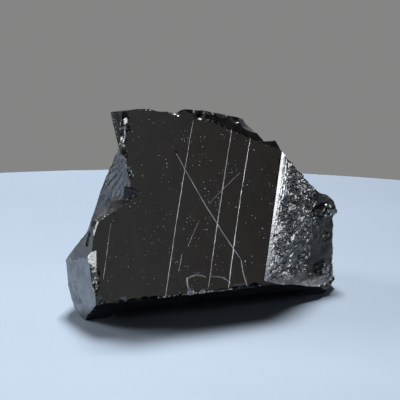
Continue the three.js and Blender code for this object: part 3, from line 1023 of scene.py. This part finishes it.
@dataclass
class Stone:
    """The lump: a block with everything beyond its facets split off."""

    bench: Workbench  # where the solids are made and cut
    length: float = 80.0  # length of the rough block
    width: float = 60.0  # its width
    height: float = 52.0  # its height
    # the point whose foot on a facet is that facet's own origin
    middle: Vector = field(default_factory=lambda: Vector((0.0, 2.0, 22.0)))
    reach: float = 260.0  # how far the cutters reach beyond a facet
    margin: float = 1.5  # how far relief runs on past the part of a facet that shows
    bare: float = 9.0  # half the size of the middle part of a cutter without relief
    parallel: float = 0.9999  # least cosine between a face and its facet
    touching: float = 0.02  # the most distance between a face and its facet
    quick_cell: float = 2.5
    sharp: float = 34.0  # the angle from which an edge is sharp, in degrees
    facets: dict[str, Facet] = field(default_factory=lambda: dict(FACETS))  # the facets by name

    def block(self) -> bpy.types.Object:
        """Makes the rough block that the stone breaks out of.

        Returns:
            The block, which stands on the floor.
        """
        bm = bmesh.new()
        bmesh.ops.create_cube(bm, size=1.0)
        bmesh.ops.scale(bm, vec=(self.length, self.width, self.height), verts=bm.verts)
        bmesh.ops.translate(bm, vec=(0, self.middle.y, self.height / 2), verts=bm.verts)
        return self.bench.put("block", bm, Finish.SATIN)

    def beyond(self, name: str, window: Optional[Window]) -> bpy.types.Object:
        """Makes the solid of all that lies beyond one facet.

        Args:
            name: name of the facet.
            window: the lowest and highest corner of the part with relief, or None for a flat one.

        Returns:
            A pyramid whose base carries the relief.
        """
        facet = self.facets[name]
        seed = list(self.facets).index(name) + 1
        low, high = window or (Vector((-self.bare, -self.bare)), Vector((self.bare, self.bare)))
        size, centre = high - low, (low + high) / 2
        cell = facet.relief.cell * 1.0
        bm = grid([max(1, math.ceil(s / cell)) if window else 1 for s in size], size)
        bmesh.ops.translate(bm, vec=(centre.x, centre.y, 0), verts=bm.verts)
        if window:
            for vert in bm.verts:
                vert.co.z = facet.relief.rise(Spot(vert.co.x, vert.co.y, facet.bulb, seed))
        about = Matrix.Translation((-centre.x, -centre.y, 0))
        vec = (2 * self.reach / size.x, 2 * self.reach / size.y, 0)
        bmesh.ops.scale(bm, vec=vec, space=about, verts=self.spread(bm))
        top = self.spread(bm)
        bmesh.ops.pointmerge(bm, verts=top, merge_co=(centre.x, centre.y, self.reach))
        bmesh.ops.recalc_face_normals(bm, faces=bm.faces)
        bmesh.ops.transform(bm, matrix=facet.placing(self.middle), verts=bm.verts)
        return self.bench.put(name, bm, facet.relief.finish)

    @staticmethod
    def spread(bm: bmesh.types.BMesh) -> list[bmesh.types.BMVert]:
        """Extrudes the open rim of a mesh and gives the new points."""
        rim = [edge for edge in bm.edges if edge.is_boundary]
        return new_points(bmesh.ops.extrude_edge_only(bm, edges=rim))

    def broken(self, windows: dict[str, Window]) -> bpy.types.Object:
        """Splits all the breaks off the block.

        Args:
            windows: the part of each facet that carries relief.

        Returns:
            The stone without its chips.
        """
        stone = self.block()
        slabs = {name: self.beyond(name, windows.get(name)) for name in self.facets}
        for first, *others in BREAKS:
            if not others:
                self.bench.cut(stone, slabs[first], Cut.REMOVE)
                continue
            notch = self.bench.copy(slabs[first])
            for name in others:
                self.bench.cut(notch, slabs[name], Cut.SHARE)
            self.bench.use_up(stone, notch, Cut.REMOVE)
        self.bench.clear(slabs.values())
        return stone

    def windows(self) -> dict[str, Window]:
        """Finds the part of each facet that shows, on a stone with flat facets.

        Returns:
            The lowest and highest corner of each facet that shows, in its own frame.
        """
        plain = self.broken({})
        found: dict[str, Window] = {}
        for name, facet in self.facets.items():
            normal, back = facet.normal(), facet.placing(self.middle).inverted()
            corners = []
            for polygon in plain.data.polygons:
                away = (polygon.center - Vector(facet.through)).dot(normal)
                if polygon.normal.dot(normal) > self.parallel and abs(away) < self.touching:
                    corners += [back @ plain.data.vertices[i].co for i in polygon.vertices]
            if corners:
                across, upward = [c.x for c in corners], [c.y for c in corners]
                low = Vector((min(across) - self.margin, min(upward) - self.margin))
                high = Vector((max(across) + self.margin, max(upward) + self.margin))
                found[name] = (low, high)
        self.bench.clear([plain])
        return found

    def build(self) -> bpy.types.Object:
        """Breaks the stone, chips it and scratches it.

        Returns:
            The finished stone, in metres and in the frame's place.
        """
        stone = self.broken(self.windows())
        log.info("broken: %d faces", len(stone.data.polygons))
        marks = Marks(self.bench, self.facets["cleavage"].placing(self.middle))
        for shape in LUMPS:
            self.bench.use_up(stone, marks.lump(shape), Cut.JOIN)
        for row, shape in enumerate(FLAKES):
            self.bench.use_up(stone, marks.flake(shape, row), Cut.REMOVE)
        tools = [marks.chips()]
        tools += [marks.scratch(mark, number) for number, mark in enumerate(SCRATCHES)]
        tools += [marks.pits(patch, number) for number, patch in enumerate(PITS)]
        for tool in tools:
            self.bench.use_up(stone, tool, Cut.REMOVE)
        log.info("chipped: %d faces", len(stone.data.polygons))
        self.settle(stone)
        stone.name = stone.data.name = "stone"
        return stone

    def settle(self, stone: bpy.types.Object) -> None:
        """Turns the mesh to metres, stands it in the frame's box, and smooths its soft faces.

        Args:
            stone: the stone, in millimetres.
        """
        bm = bmesh.new()
        bm.from_mesh(stone.data)
        bmesh.ops.scale(bm, vec=(MM, MM, MM), verts=bm.verts)
        low = Vector([min(v.co[i] for v in bm.verts) for i in range(3)])
        high = Vector([max(v.co[i] for v in bm.verts) for i in range(3)])
        floor_low, floor_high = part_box(NODE)
        shift = (floor_low + floor_high) / 2 - (low + high) / 2
        shift.z = floor_low.z - low.z
        bmesh.ops.translate(bm, vec=shift, verts=bm.verts)
        bm.to_mesh(stone.data)
        bm.free()
        flat = {finish.value for finish in FLAT_FINISHES}
        smooth = [polygon.material_index not in flat for polygon in stone.data.polygons]
        stone.data.polygons.foreach_set("use_smooth", smooth)
        stone.data.set_sharp_from_angle(angle=math.radians(self.sharp))


class Painter:
    """Adds and joins the nodes of one node tree."""

    def __init__(self, tree: bpy.types.NodeTree) -> None:
        """Takes the tree and empties it."""
        self.tree = tree
        tree.nodes.clear()

    def give(self, socket: bpy.types.NodeSocket, value: object) -> None:
        """Joins a socket to another one, or sets its value.

        Args:
            socket: the input socket.
            value: an output socket or a plain value.
        """
        if isinstance(value, bpy.types.NodeSocket):
            self.tree.links.new(value, socket)
        else:
            socket.default_value = value

    def node(self, kind: str, inputs: Optional[dict] = None, **settings: object) -> bpy.types.Node:
        """Adds a node.

        Args:
            kind: the node's type.
            inputs: a value or an output socket for each named or numbered input.
            settings: the node's own settings.

        Returns:
            The node.
        """
        node = self.tree.nodes.new(kind)
        for name, value in settings.items():
            setattr(node, name, value)
        for name, value in (inputs or {}).items():
            self.give(node.inputs[name], value)
        return node

    def place(
        self,
        size: float,
        turn: tuple[float, float, float] = (0, 0, 0),
        stretch: tuple[float, float, float] = (1, 1, 1),
    ) -> bpy.types.NodeSocket:
        """Gives the place on the piece, turned and measured in a size in millimetres.

        Args:
            size: the length that counts as one.
            turn: degrees about X, Y and Z.
            stretch: how much finer the pattern is along each turned axis.

        Returns:
            The vector socket.
        """
        coordinates = self.node("ShaderNodeTexCoord").outputs["Object"]
        angles = [math.radians(angle) for angle in turn]
        turned = self.node("ShaderNodeMapping", {"Vector": coordinates, "Rotation": angles})
        scale = [share / (size * MM) for share in stretch]
        return self.node("ShaderNodeMapping", {"Vector": turned.outputs[0], "Scale": scale}).outputs[0]

    def axes(self, turn: float = 0.0) -> bpy.types.bpy_prop_collection:
        """Gives the place on the piece in millimetres, as X, Y and Z, turned about Z."""
        return self.node("ShaderNodeSeparateXYZ", {0: self.place(1.0, (0, 0, turn))}).outputs

    def noise(
        self, place: bpy.types.NodeSocket, detail: float = 3.0, roughness: float = 0.55
    ) -> bpy.types.NodeSocket:
        """Gives soft noise from 0 to 1."""
        values = {"Vector": place, "Scale": 1.0, "Detail": detail, "Roughness": roughness}
        return self.node("ShaderNodeTexNoise", values).outputs["Fac"]

    def cells(self, place: bpy.types.NodeSocket) -> bpy.types.bpy_prop_collection:
        """Gives the distance and the colour of cells that are about one apart."""
        return self.node("ShaderNodeTexVoronoi", {"Vector": place, "Scale": 1.0}).outputs

    def span(
        self, value: bpy.types.NodeSocket, low: float, high: float, to_low: float = 0.0,
        to_high: float = 1.0,
    ) -> bpy.types.NodeSocket:
        """Maps a value from one range to another and stops at its ends."""
        values = {"Value": value, 1: low, 2: high, 3: to_low, 4: to_high}
        return self.node("ShaderNodeMapRange", values, clamp=True).outputs[0]

    def sum(self, operation: str, first: object, second: object) -> bpy.types.NodeSocket:
        """Works out one sum of two values."""
        return self.node("ShaderNodeMath", {0: first, 1: second}, operation=operation).outputs[0]

    def blend(self, share: object, first: object, second: object) -> bpy.types.NodeSocket:
        """Mixes two colours by a share."""
        mix = self.node("ShaderNodeMix", {0: share, 6: first, 7: second}, data_type="RGBA")
        return mix.outputs[2]

    def effect(
        self, group: bpy.types.NodeTree, inputs: Optional[dict] = None
    ) -> bpy.types.bpy_prop_collection:
        """Places a shared node group and gives its outputs."""
        return self.node("ShaderNodeGroup", inputs, node_tree=group).outputs

    def bump(self, height: bpy.types.NodeSocket, tall: float) -> bpy.types.NodeSocket:
        """Gives the normal of a height that counts as so many millimetres tall."""
        values = {"Height": height, "Distance": tall * MM, "Strength": 1.0}
        return self.node("ShaderNodeBump", values).outputs[0]

    def skin(self, values: dict[str, object]) -> None:
        """Ends a material in a surface with these values."""
        surface = self.node("ShaderNodeBsdfPrincipled", values)
        self.node("ShaderNodeOutputMaterial", {"Surface": surface.outputs[0]})


def new_material(name: str) -> tuple[bpy.types.Material, Painter]:
    """Makes an empty material.

    Args:
        name: its name.

    Returns:
        The material, and the painter of its nodes.
    """
    material = bpy.data.materials.new(name)
    material.use_nodes = True
    return material, Painter(material.node_tree)


def grey(value: float, warmth: float = 0.0) -> tuple[float, float, float, float]:
    """Gives a grey that leans to brown for a positive warmth and to blue for a negative one."""
    return (value * (1 + warmth), value * (1 + warmth * 0.2), value * (1 - warmth), 1.0)


class Effects:
    """The node groups that the stone's finishes share."""

    # size in millimetres, detail, roughness, range and share of each layer of the mottled tone
    MOTTLES = (
        (13, 3, 0.55, (0.36, 0.64), 0.35),
        (4.5, 4, 0.6, (0.38, 0.62), 0.4),
        (1.3, 4, 0.65, (0.35, 0.65), 0.25),
    )
    # direction in degrees and threshold of each set of hairlines
    HAIRLINES = ((13, 0.73), (-38, 0.76), (62, 0.77))
    # the tilt of the cleavage face, which turns the lines into it
    LEAN = -12

    def __init__(self) -> None:
        """Makes the groups."""
        self.tone = self.make_tone()
        self.specks = self.make_specks()
        self.hackle = self.make_hackle()
        self.hairlines = self.make_hairlines()

    @staticmethod
    def group(
        name: str, inputs: dict[str, object], outputs: dict[str, str]
    ) -> tuple[bpy.types.NodeTree, Painter, bpy.types.bpy_prop_collection]:
        """Makes an empty group with its sockets.

        Args:
            name: name of the group.
            inputs: default of each input: a number, or a colour.
            outputs: socket type of each output.

        Returns:
            The group, the painter of its nodes, and the sockets that its inputs come in by.
        """
        tree = bpy.data.node_groups.new(name, "ShaderNodeTree")
        for label, default in inputs.items():
            kind = "NodeSocketColor" if isinstance(default, tuple) else "NodeSocketFloat"
            socket = tree.interface.new_socket(name=label, in_out="INPUT", socket_type=kind)
            socket.default_value = default
        for label, kind in outputs.items():
            tree.interface.new_socket(name=label, in_out="OUTPUT", socket_type=kind)
        paint = Painter(tree)
        return tree, paint, paint.node("NodeGroupInput").outputs

    def make_tone(self) -> bpy.types.NodeTree:
        """Makes the mottled colour between a dark and a light tone.

        Returns:
            The group.
        """
        tones = {"Dark": grey(0.1), "Light": grey(0.2)}
        tree, paint, start = self.group("carbon_tone", tones, {"Color": "NodeSocketColor"})
        share: object = 0.0
        for size, detail, roughness, (low, high), most in self.MOTTLES:
            layer = paint.noise(paint.place(size), detail, roughness)
            share = paint.sum("ADD", share, paint.span(layer, low, high, 0, most))
        colour = paint.blend(share, start["Dark"], start["Light"])
        paint.node("NodeGroupOutput", {"Color": colour})
        return tree

    def make_specks(self) -> bpy.types.NodeTree:
        """Makes the mask of small pale specks, in drifts.

        Returns:
            The group.
        """
        tree, paint, start = self.group("pale_specks", {"Fill": 0.2}, {"Mask": "NodeSocketFloat"})
        cells = paint.cells(paint.place(0.55))
        drift = paint.span(paint.noise(paint.place(5)), 0.48, 0.66, 0.08, 1.0)
        spread = paint.node("ShaderNodeSeparateColor", {0: cells["Color"]}).outputs[0]
        fill = paint.sum("MULTIPLY", drift, start["Fill"])
        size = paint.sum("MULTIPLY", paint.sum("POWER", spread, 3.0), fill)
        paint.node("NodeGroupOutput", {"Mask": paint.sum("LESS_THAN", cells["Distance"], size)})
        return tree

    def make_hackle(self) -> bpy.types.NodeTree:
        """Makes the fine height of broken carbon: creases on soft noise.

        Returns:
            The group.
        """
        tree, paint, _ = self.group("hackle", {}, {"Height": "NodeSocketFloat"})
        soft = paint.noise(paint.place(0.45), 5, 0.6)
        creases = paint.sum("MULTIPLY", paint.cells(paint.place(0.5))["Distance"], 0.5)
        paint.node("NodeGroupOutput", {"Height": paint.sum("ADD", soft, creases)})
        return tree

    def make_hairlines(self) -> bpy.types.NodeTree:
        """Makes the mask of hairline scratches and faint streaks on the cleavage face.

        Returns:
            The group.
        """
        outputs = {"Lines": "NodeSocketFloat", "Streaks": "NodeSocketFloat"}
        tree, paint, _ = self.group("hairlines", {}, outputs)
        total: object = 0.0
        for angle, low in self.HAIRLINES:
            long = paint.noise(paint.place(1.0, (self.LEAN, angle, 0), (4.5, 1, 0.07)), 1)
            total = paint.sum("ADD", total, paint.span(long, low, low + 0.03))
        streaks = paint.noise(paint.place(1.0, (self.LEAN, 13, 0), (1.4, 0.4, 0.03)), 2)
        paint.node("NodeGroupOutput", {"Lines": total, "Streaks": streaks})
        return tree


@dataclass(frozen=True)
class Broken:
    """The finish of a broken surface: a dark, glassy, metallic skin."""

    name: str  # name of the material
    dark: float  # its darker tone
    light: float  # its lighter tone
    warmth: float  # how far the tones lean to brown, or to blue below zero
    gloss: tuple[float, float]  # the least and the most roughness
    tooth: float  # height of the fine hackle
    fill: float = 0.0  # how many pale specks there are
    speck: tuple[float, float] = (0.6, 0.02)  # tone and warmth of the specks
    speck_gloss: float = 0.6  # roughness of the specks
    patch: float = 2.1  # size of the patches of one gloss

    def material(self, effects: Effects) -> bpy.types.Material:
        """Makes the material.

        Args:
            effects: the shared node groups.

        Returns:
            The material.
        """
        material, paint = new_material(self.name)
        tones = {"Dark": grey(self.dark, self.warmth), "Light": grey(self.light, self.warmth)}
        colour = paint.effect(effects.tone, tones)["Color"]
        specks = paint.effect(effects.specks, {"Fill": self.fill})["Mask"]
        gloss = paint.span(paint.noise(paint.place(self.patch), 4), 0.3, 0.7, *self.gloss)
        paint.skin({
            "Base Color": paint.blend(specks, colour, grey(*self.speck)),
            "Roughness": paint.sum("MAXIMUM", gloss, paint.sum("MULTIPLY", specks, self.speck_gloss)),
            "Normal": paint.bump(paint.effect(effects.hackle)["Height"], self.tooth),
            "Metallic": 1.0,
        })
        return material


@dataclass(frozen=True)
class Cleaved:
    """The finish of the cleavage face: a dark mirror with streaks, hairlines, specks and a painted
    reflection.
    """

    name: str = "cleaved_face"  # name of the material
    # darker tone, lighter tone and warmth at the left, where the painted reflection is lightest and most
    # neutral
    left: tuple[float, float, float] = (0.088, 0.112, 0.0)
    # at the right the painted reflection is darker and browner
    right: tuple[float, float, float] = (0.056, 0.072, 0.07)  # the same at the right
    reach: tuple[float, float] = (-24.0, 12.0)  # where the left tones end and the right ones begin
    gloss: tuple[float, float] = (0.09, 0.16)  # the least and the most roughness
    fill: float = 0.24  # how many pale specks there are
    streak: tuple[float, float] = (0.085, 0.06)  # tone and warmth of the streaks
    line: tuple[float, float] = (0.35, 0.05)  # tone and warmth of the hairlines
    speck: tuple[float, float] = (0.55, 0.06)  # tone and warmth of the specks
    most: tuple[float, float] = (0.35, 0.35)  # how far the streaks and the hairlines cover the tones
    # roughness of the specks, and the share of it that the hairlines have
    worn: tuple[float, float] = (0.55, 0.4)
    # depth of the hairlines, and the share of it that the streaks have
    depth: tuple[float, float] = (0.012, 0.25)

    def material(self, effects: Effects) -> bpy.types.Material:
        """Makes the material.

        Args:
            effects: the shared node groups.

        Returns:
            The material.
        """
        material, paint = new_material(self.name)
        tones = []
        for dark, light, warmth in (self.left, self.right):
            tone = {"Dark": grey(dark, warmth), "Light": grey(light, warmth)}
            tones.append(paint.effect(effects.tone, tone)["Color"])
        marks = paint.effect(effects.hairlines)
        specks = paint.effect(effects.specks, {"Fill": self.fill})["Mask"]
        streaks = paint.span(marks["Streaks"], 0.35, 0.65, 0.0, self.most[0])
        lines = paint.sum("MULTIPLY", marks["Lines"], self.most[1])
        # painted reflection: the tone runs from the left tones to the darker, browner right ones across
        # the face
        colour = paint.blend(paint.span(paint.axes()["X"], *self.reach), *tones)
        for share, tone in ((streaks, self.streak), (lines, self.line), (specks, self.speck)):
            colour = paint.blend(share, colour, grey(*tone))
        worn = paint.sum("MAXIMUM", paint.sum("MULTIPLY", marks["Lines"], self.worn[1]), specks)
        gloss = paint.span(marks["Streaks"], 0.3, 0.7, *self.gloss)
        height = paint.sum("SUBTRACT", paint.sum("MULTIPLY", marks["Streaks"], self.depth[1]), worn)
        paint.skin({
            "Base Color": colour,
            "Roughness": paint.sum("MAXIMUM", gloss, paint.sum("MULTIPLY", worn, self.worn[0])),
            "Normal": paint.bump(height, self.depth[0]),
            "Metallic": 1.0,
        })
        return material


@dataclass(frozen=True)
class TableTop:
    """The finish of the table: pale blue-white, with painted shade a little deeper at the far side and
    at the right.
    """

    name: str = "pale_table"  # name of the material
    # the colours of its faint clouds
    tones: tuple[tuple[float, ...], ...] = ((0.55, 0.655, 0.8, 1), (0.58, 0.685, 0.83, 1))
    cloud: float = 60.0  # size of the clouds
    turn: float = 20.0  # how far the viewer stands round the table, in degrees
    # where the painted shade starts to deepen it towards the far side, and where it stops
    depth: tuple[float, float] = (-55.0, 85.0)
    width: tuple[float, float] = (0.0, 60.0)  # the same towards the right
    # how much the painted shade darkens it at the far side, and at the right
    far: float = 0.22  # how much deeper it gets at the far side
    right: float = 0.12  # how much deeper it gets at the right
    gloss: tuple[float, float] = (0.5, 0.62)  # the least and the most roughness
    grain: float = 4.0  # size of the patches of one gloss

    def material(self) -> bpy.types.Material:
        """Makes the material.

        Returns:
            The material.
        """
        material, paint = new_material(self.name)
        cloud = paint.span(paint.noise(paint.place(self.cloud)), 0.3, 0.7)
        axes = paint.axes(self.turn)
        # painted shade: the far side and the right are darkened towards black
        far = paint.span(axes["Y"], *self.depth, 0.0, self.far)
        right = paint.span(axes["X"], *self.width, 0.0, self.right)
        colour = paint.blend(cloud, *self.tones)
        paint.skin({
            "Base Color": paint.blend(paint.sum("ADD", far, right), colour, (0, 0, 0, 1)),
            "Roughness": paint.span(paint.noise(paint.place(self.grain), 4), 0.3, 0.7, *self.gloss),
            "Specular IOR Level": 0.12,
        })
        return material


# One finish for each slot, in the order of the Finish values.
FINISHES = [
    Cleaved(),
    Broken("satin_break", 0.1, 0.17, -0.05, (0.28, 0.42), 0.02),
    Broken("glassy_break", 0.12, 0.2, -0.03, (0.14, 0.3), 0.02, 0.1),
    Broken("grainy_break", 0.05, 0.14, -0.01, (0.1, 0.24), 0.05, 0.18),
    Broken("fluted_break", 0.1, 0.2, -0.02, (0.12, 0.24), 0.03, 0.05),
    Broken("stepped_break", 0.04, 0.085, -0.03, (0.22, 0.38), 0.035, 0.06),
    Broken("chipped_edge", 0.08, 0.18, -0.02, (0.16, 0.34), 0.03, 0.15),
    Broken("crushed_scratch", 0.42, 0.95, 0.0, (0.33, 0.52), 0.03),
    # painted light: the carbon lightened and blued on the left end, on top of its own reflection of the
    # table
    Broken("lit_slate_break", 0.17, 0.4, -0.04, (0.34, 0.52), 0.04, 0.1),
    Broken("dull_break", 0.09, 0.22, -0.03, (0.2, 0.4), 0.06, 0.4),
    # painted shade: the darkest copy of the broken carbon
    Broken("shaded_break", 0.035, 0.08, 0.0, (0.24, 0.4), 0.03, 0.1),
    # painted shade: a darker copy of the left end's lightened carbon, on the cheek and the shoulder; it
    # also makes darker patches on the left end
    Broken("dim_slate", 0.12, 0.3, -0.04, (0.28, 0.5), 0.06, 0.2),
    # painted light: a pale copy of the broken carbon, for the bench
    Broken("lit_pale_break", 0.38, 1.0, -0.06, (0.28, 0.5), 0.08, 0.3),
    Broken("ribbed_break", 0.09, 0.22, -0.03, (0.2, 0.38), 0.07, 0.45),
]


@dataclass
class Table:
    """The round table that the stone rests on."""

    radius: float = 215.0  # its radius
    thickness: float = 18.0  # thickness of its top
    far_edge: float = 117.3  # distance from the stone to its far edge
    aside: float = -15.5  # how far its middle is to the viewer's right of the stone
    edge: float = 2.5  # width of the bevel along its edge
    edge_segments: int = 4  # how finely the bevel is rounded
    segments: int = 256  # how many sides the disc has
    sharp: float = 40.0  # the angle from which an edge is sharp, in degrees
    top: TableTop = TableTop()  # its finish

    def build(self, target: Vector, toward: Vector) -> bpy.types.Object:
        """Makes the table top.

        Args:
            target: the point on the stone that the viewer looks at.
            toward: level direction from the stone to the viewer.

        Returns:
            A disc whose far edge is behind the stone, with its top at the frame's floor.
        """
        bm = bmesh.new()
        bmesh.ops.create_cone(
            bm, cap_ends=True, segments=self.segments, radius1=self.radius,
            radius2=self.radius, depth=self.thickness,
        )
        rim = [edge for edge in bm.edges if edge.verts[0].co.z * edge.verts[1].co.z > 0]
        bmesh.ops.bevel(
            bm, geom=rim, offset=self.edge, affect="EDGES", segments=self.edge_segments,
            profile=0.5, material=-1,
        )
        bmesh.ops.scale(bm, vec=(MM, MM, MM), verts=bm.verts)
        across = Vector((-toward.y, toward.x, 0))
        shift = target + (toward * (self.radius - self.far_edge) + across * self.aside) * MM
        shift.z = CAD_BOX[0][2] - self.thickness / 2 * MM
        bmesh.ops.translate(bm, vec=shift, verts=bm.verts)
        table = as_object("table", bm, [self.top.material()])
        table.data.polygons.foreach_set("use_smooth", [True] * len(table.data.polygons))
        table.data.set_sharp_from_angle(angle=math.radians(self.sharp))
        return table


@dataclass
class Softbox:
    """One soft light, aimed at the stone."""

    name: str  # name of the light
    azimuth: float  # where it hangs, round the stone
    elevation: float  # how high it hangs, in degrees
    size: tuple[float, float]  # its width and height
    glow: float  # brightness of its face
    colour: tuple[float, float, float] = (0.97, 0.99, 1.0)  # its colour
    reaches: Reaches = Reaches.GLOSS  # which surfaces it reaches
    distance: float = 620.0  # distance from the stone

    def build(self, target: Vector) -> bpy.types.Object:
        """Hangs the light.

        Args:
            target: the point that it looks at, in metres.

        Returns:
            The light.
        """
        lamp = bpy.data.lights.new(self.name, "AREA")
        lamp.shape = "RECTANGLE"
        lamp.size, lamp.size_y = self.size[0] * MM, self.size[1] * MM
        lamp.energy = self.glow * math.pi * lamp.size * lamp.size_y
        lamp.color = self.colour
        light = into_scene(bpy.data.objects.new(self.name, lamp))
        light.visible_diffuse, light.visible_glossy = self.reaches.value
        away = outward(self.azimuth, self.elevation)
        hung = target + away * self.distance * MM
        light.matrix_world = facing(self.azimuth, self.elevation, hung)
        return light


SOFTBOXES: list[Softbox] = [
    Softbox("overhead", 157, 60.5, (300, 240), 77.0, (0.97, 0.985, 1.0), Reaches.ALL, 1240),
    Softbox("left_wash", -128, 31, (560, 560), 5.4, (0.97, 0.985, 1.0), Reaches.MATT, 1240),
    Softbox("left_window", -72, 17, (190, 340), 7.0),
    Softbox("right_window", 66, 2, (170, 260), 9.0, (0.98, 0.99, 1.0)),
    Softbox("right_low", 66, -6, (22, 22), 1.5, (0.98, 0.99, 1.0), distance=110),
    Softbox("front_panel", 20, 9, (330, 330), 0.24, (1.0, 1.0, 1.0)),
    Softbox("left_high", -106, 55, (300, 300), 0.8),
    Softbox("right_high", 95, 30, (300, 300), 0.5),
    Softbox("back_left", -138, 10, (300, 220), 0.85, (0.92, 0.96, 1.0)),
    Softbox("back_high", -171, 42, (320, 220), 0.6),
    Softbox("back_right", 143, 28, (300, 220), 0.6, (0.95, 0.98, 1.0)),
]


@dataclass
class Studio:
    """The soft light round the stone and the even grey behind it."""

    wall: tuple[float, float, float] = (0.234, 0.234, 0.231)  # colour of the grey behind the stone
    dimness: float = 0.05  # how bright the surroundings are for matt surfaces, beside the wall
    sheen: float = 0.16  # how bright they are in reflections
    lights: list[Softbox] = field(default_factory=lambda: list(SOFTBOXES))  # the lights

    def build(self, target: Vector) -> None:
        """Hangs the lights and sets the surroundings.

        Args:
            target: the point that the lights look at, in metres.
        """
        for light in self.lights:
            light.build(target)
        world = bpy.data.worlds.new("studio")
        bpy.context.scene.world = world
        world.use_nodes = True
        paint = Painter(world.node_tree)
        path = paint.node("ShaderNodeLightPath").outputs
        mirrored = paint.span(path["Is Glossy Ray"], 0.0, 1.0, self.dimness, self.sheen)
        strength = paint.sum("MAXIMUM", path["Is Camera Ray"], mirrored)
        glow = paint.node("ShaderNodeBackground", {"Color": (*self.wall, 1.0), "Strength": strength})
        paint.node("ShaderNodeOutputWorld", {"Surface": glow.outputs[0]})
        bpy.context.scene.view_settings.view_transform = "Standard"


@dataclass
class Viewpoint:
    """The camera."""

    azimuth: float = -20.0  # where it stands, round the stone
    elevation: float = 15.0  # how high it stands, in degrees
    distance: float = 450.0  # distance from its target
    lens: float = 182.25  # focal length
    sensor: float = 36.0  # width of the sensor
    aside: float = -0.77  # how far its target is from the middle of the stone, along X
    nearer: float = -3.98  # the same along Y
    lift: float = 22.0  # height of its target above the floor

    def target(self) -> Vector:
        """Gives the point that it looks at, near the middle of the stone.

        Returns:
            The point, in metres.
        """
        low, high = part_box(NODE)
        middle = (low + high) / 2
        return Vector((middle.x + self.aside * MM, middle.y + self.nearer * MM, low.z + self.lift * MM))

    def build(self) -> bpy.types.Object:
        """Sets up the camera.

        Returns:
            The camera.
        """
        optics = bpy.data.cameras.new("viewpoint")
        optics.lens, optics.sensor_width = self.lens, self.sensor
        camera = into_scene(bpy.data.objects.new("viewpoint", optics))
        away = outward(self.azimuth, self.elevation)
        stand = self.target() + away * self.distance * MM
        camera.matrix_world = facing(self.azimuth, self.elevation, stand)
        bpy.context.scene.camera = camera
        return camera


def main() -> None:
    """Builds the camera, the stone, the table and the lights, and reports each piece."""
    logging.basicConfig(level=logging.INFO, format="%(message)s")
    view = Viewpoint()
    view.build()
    effects = Effects()
    bench = Workbench([finish.material(effects) for finish in FINISHES])
    stone = Stone(bench).build()
    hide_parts(NODE)
    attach(stone, "root")
    log.info("stone: %d triangles", sum(len(p.vertices) - 2 for p in stone.data.polygons))
    level = outward(view.azimuth, 0)
    table = Table().build(view.target(), level)
    log.info("table: %d faces", len(table.data.polygons))
    Studio().build(view.target())


if __name__ == "__main__":
    main()
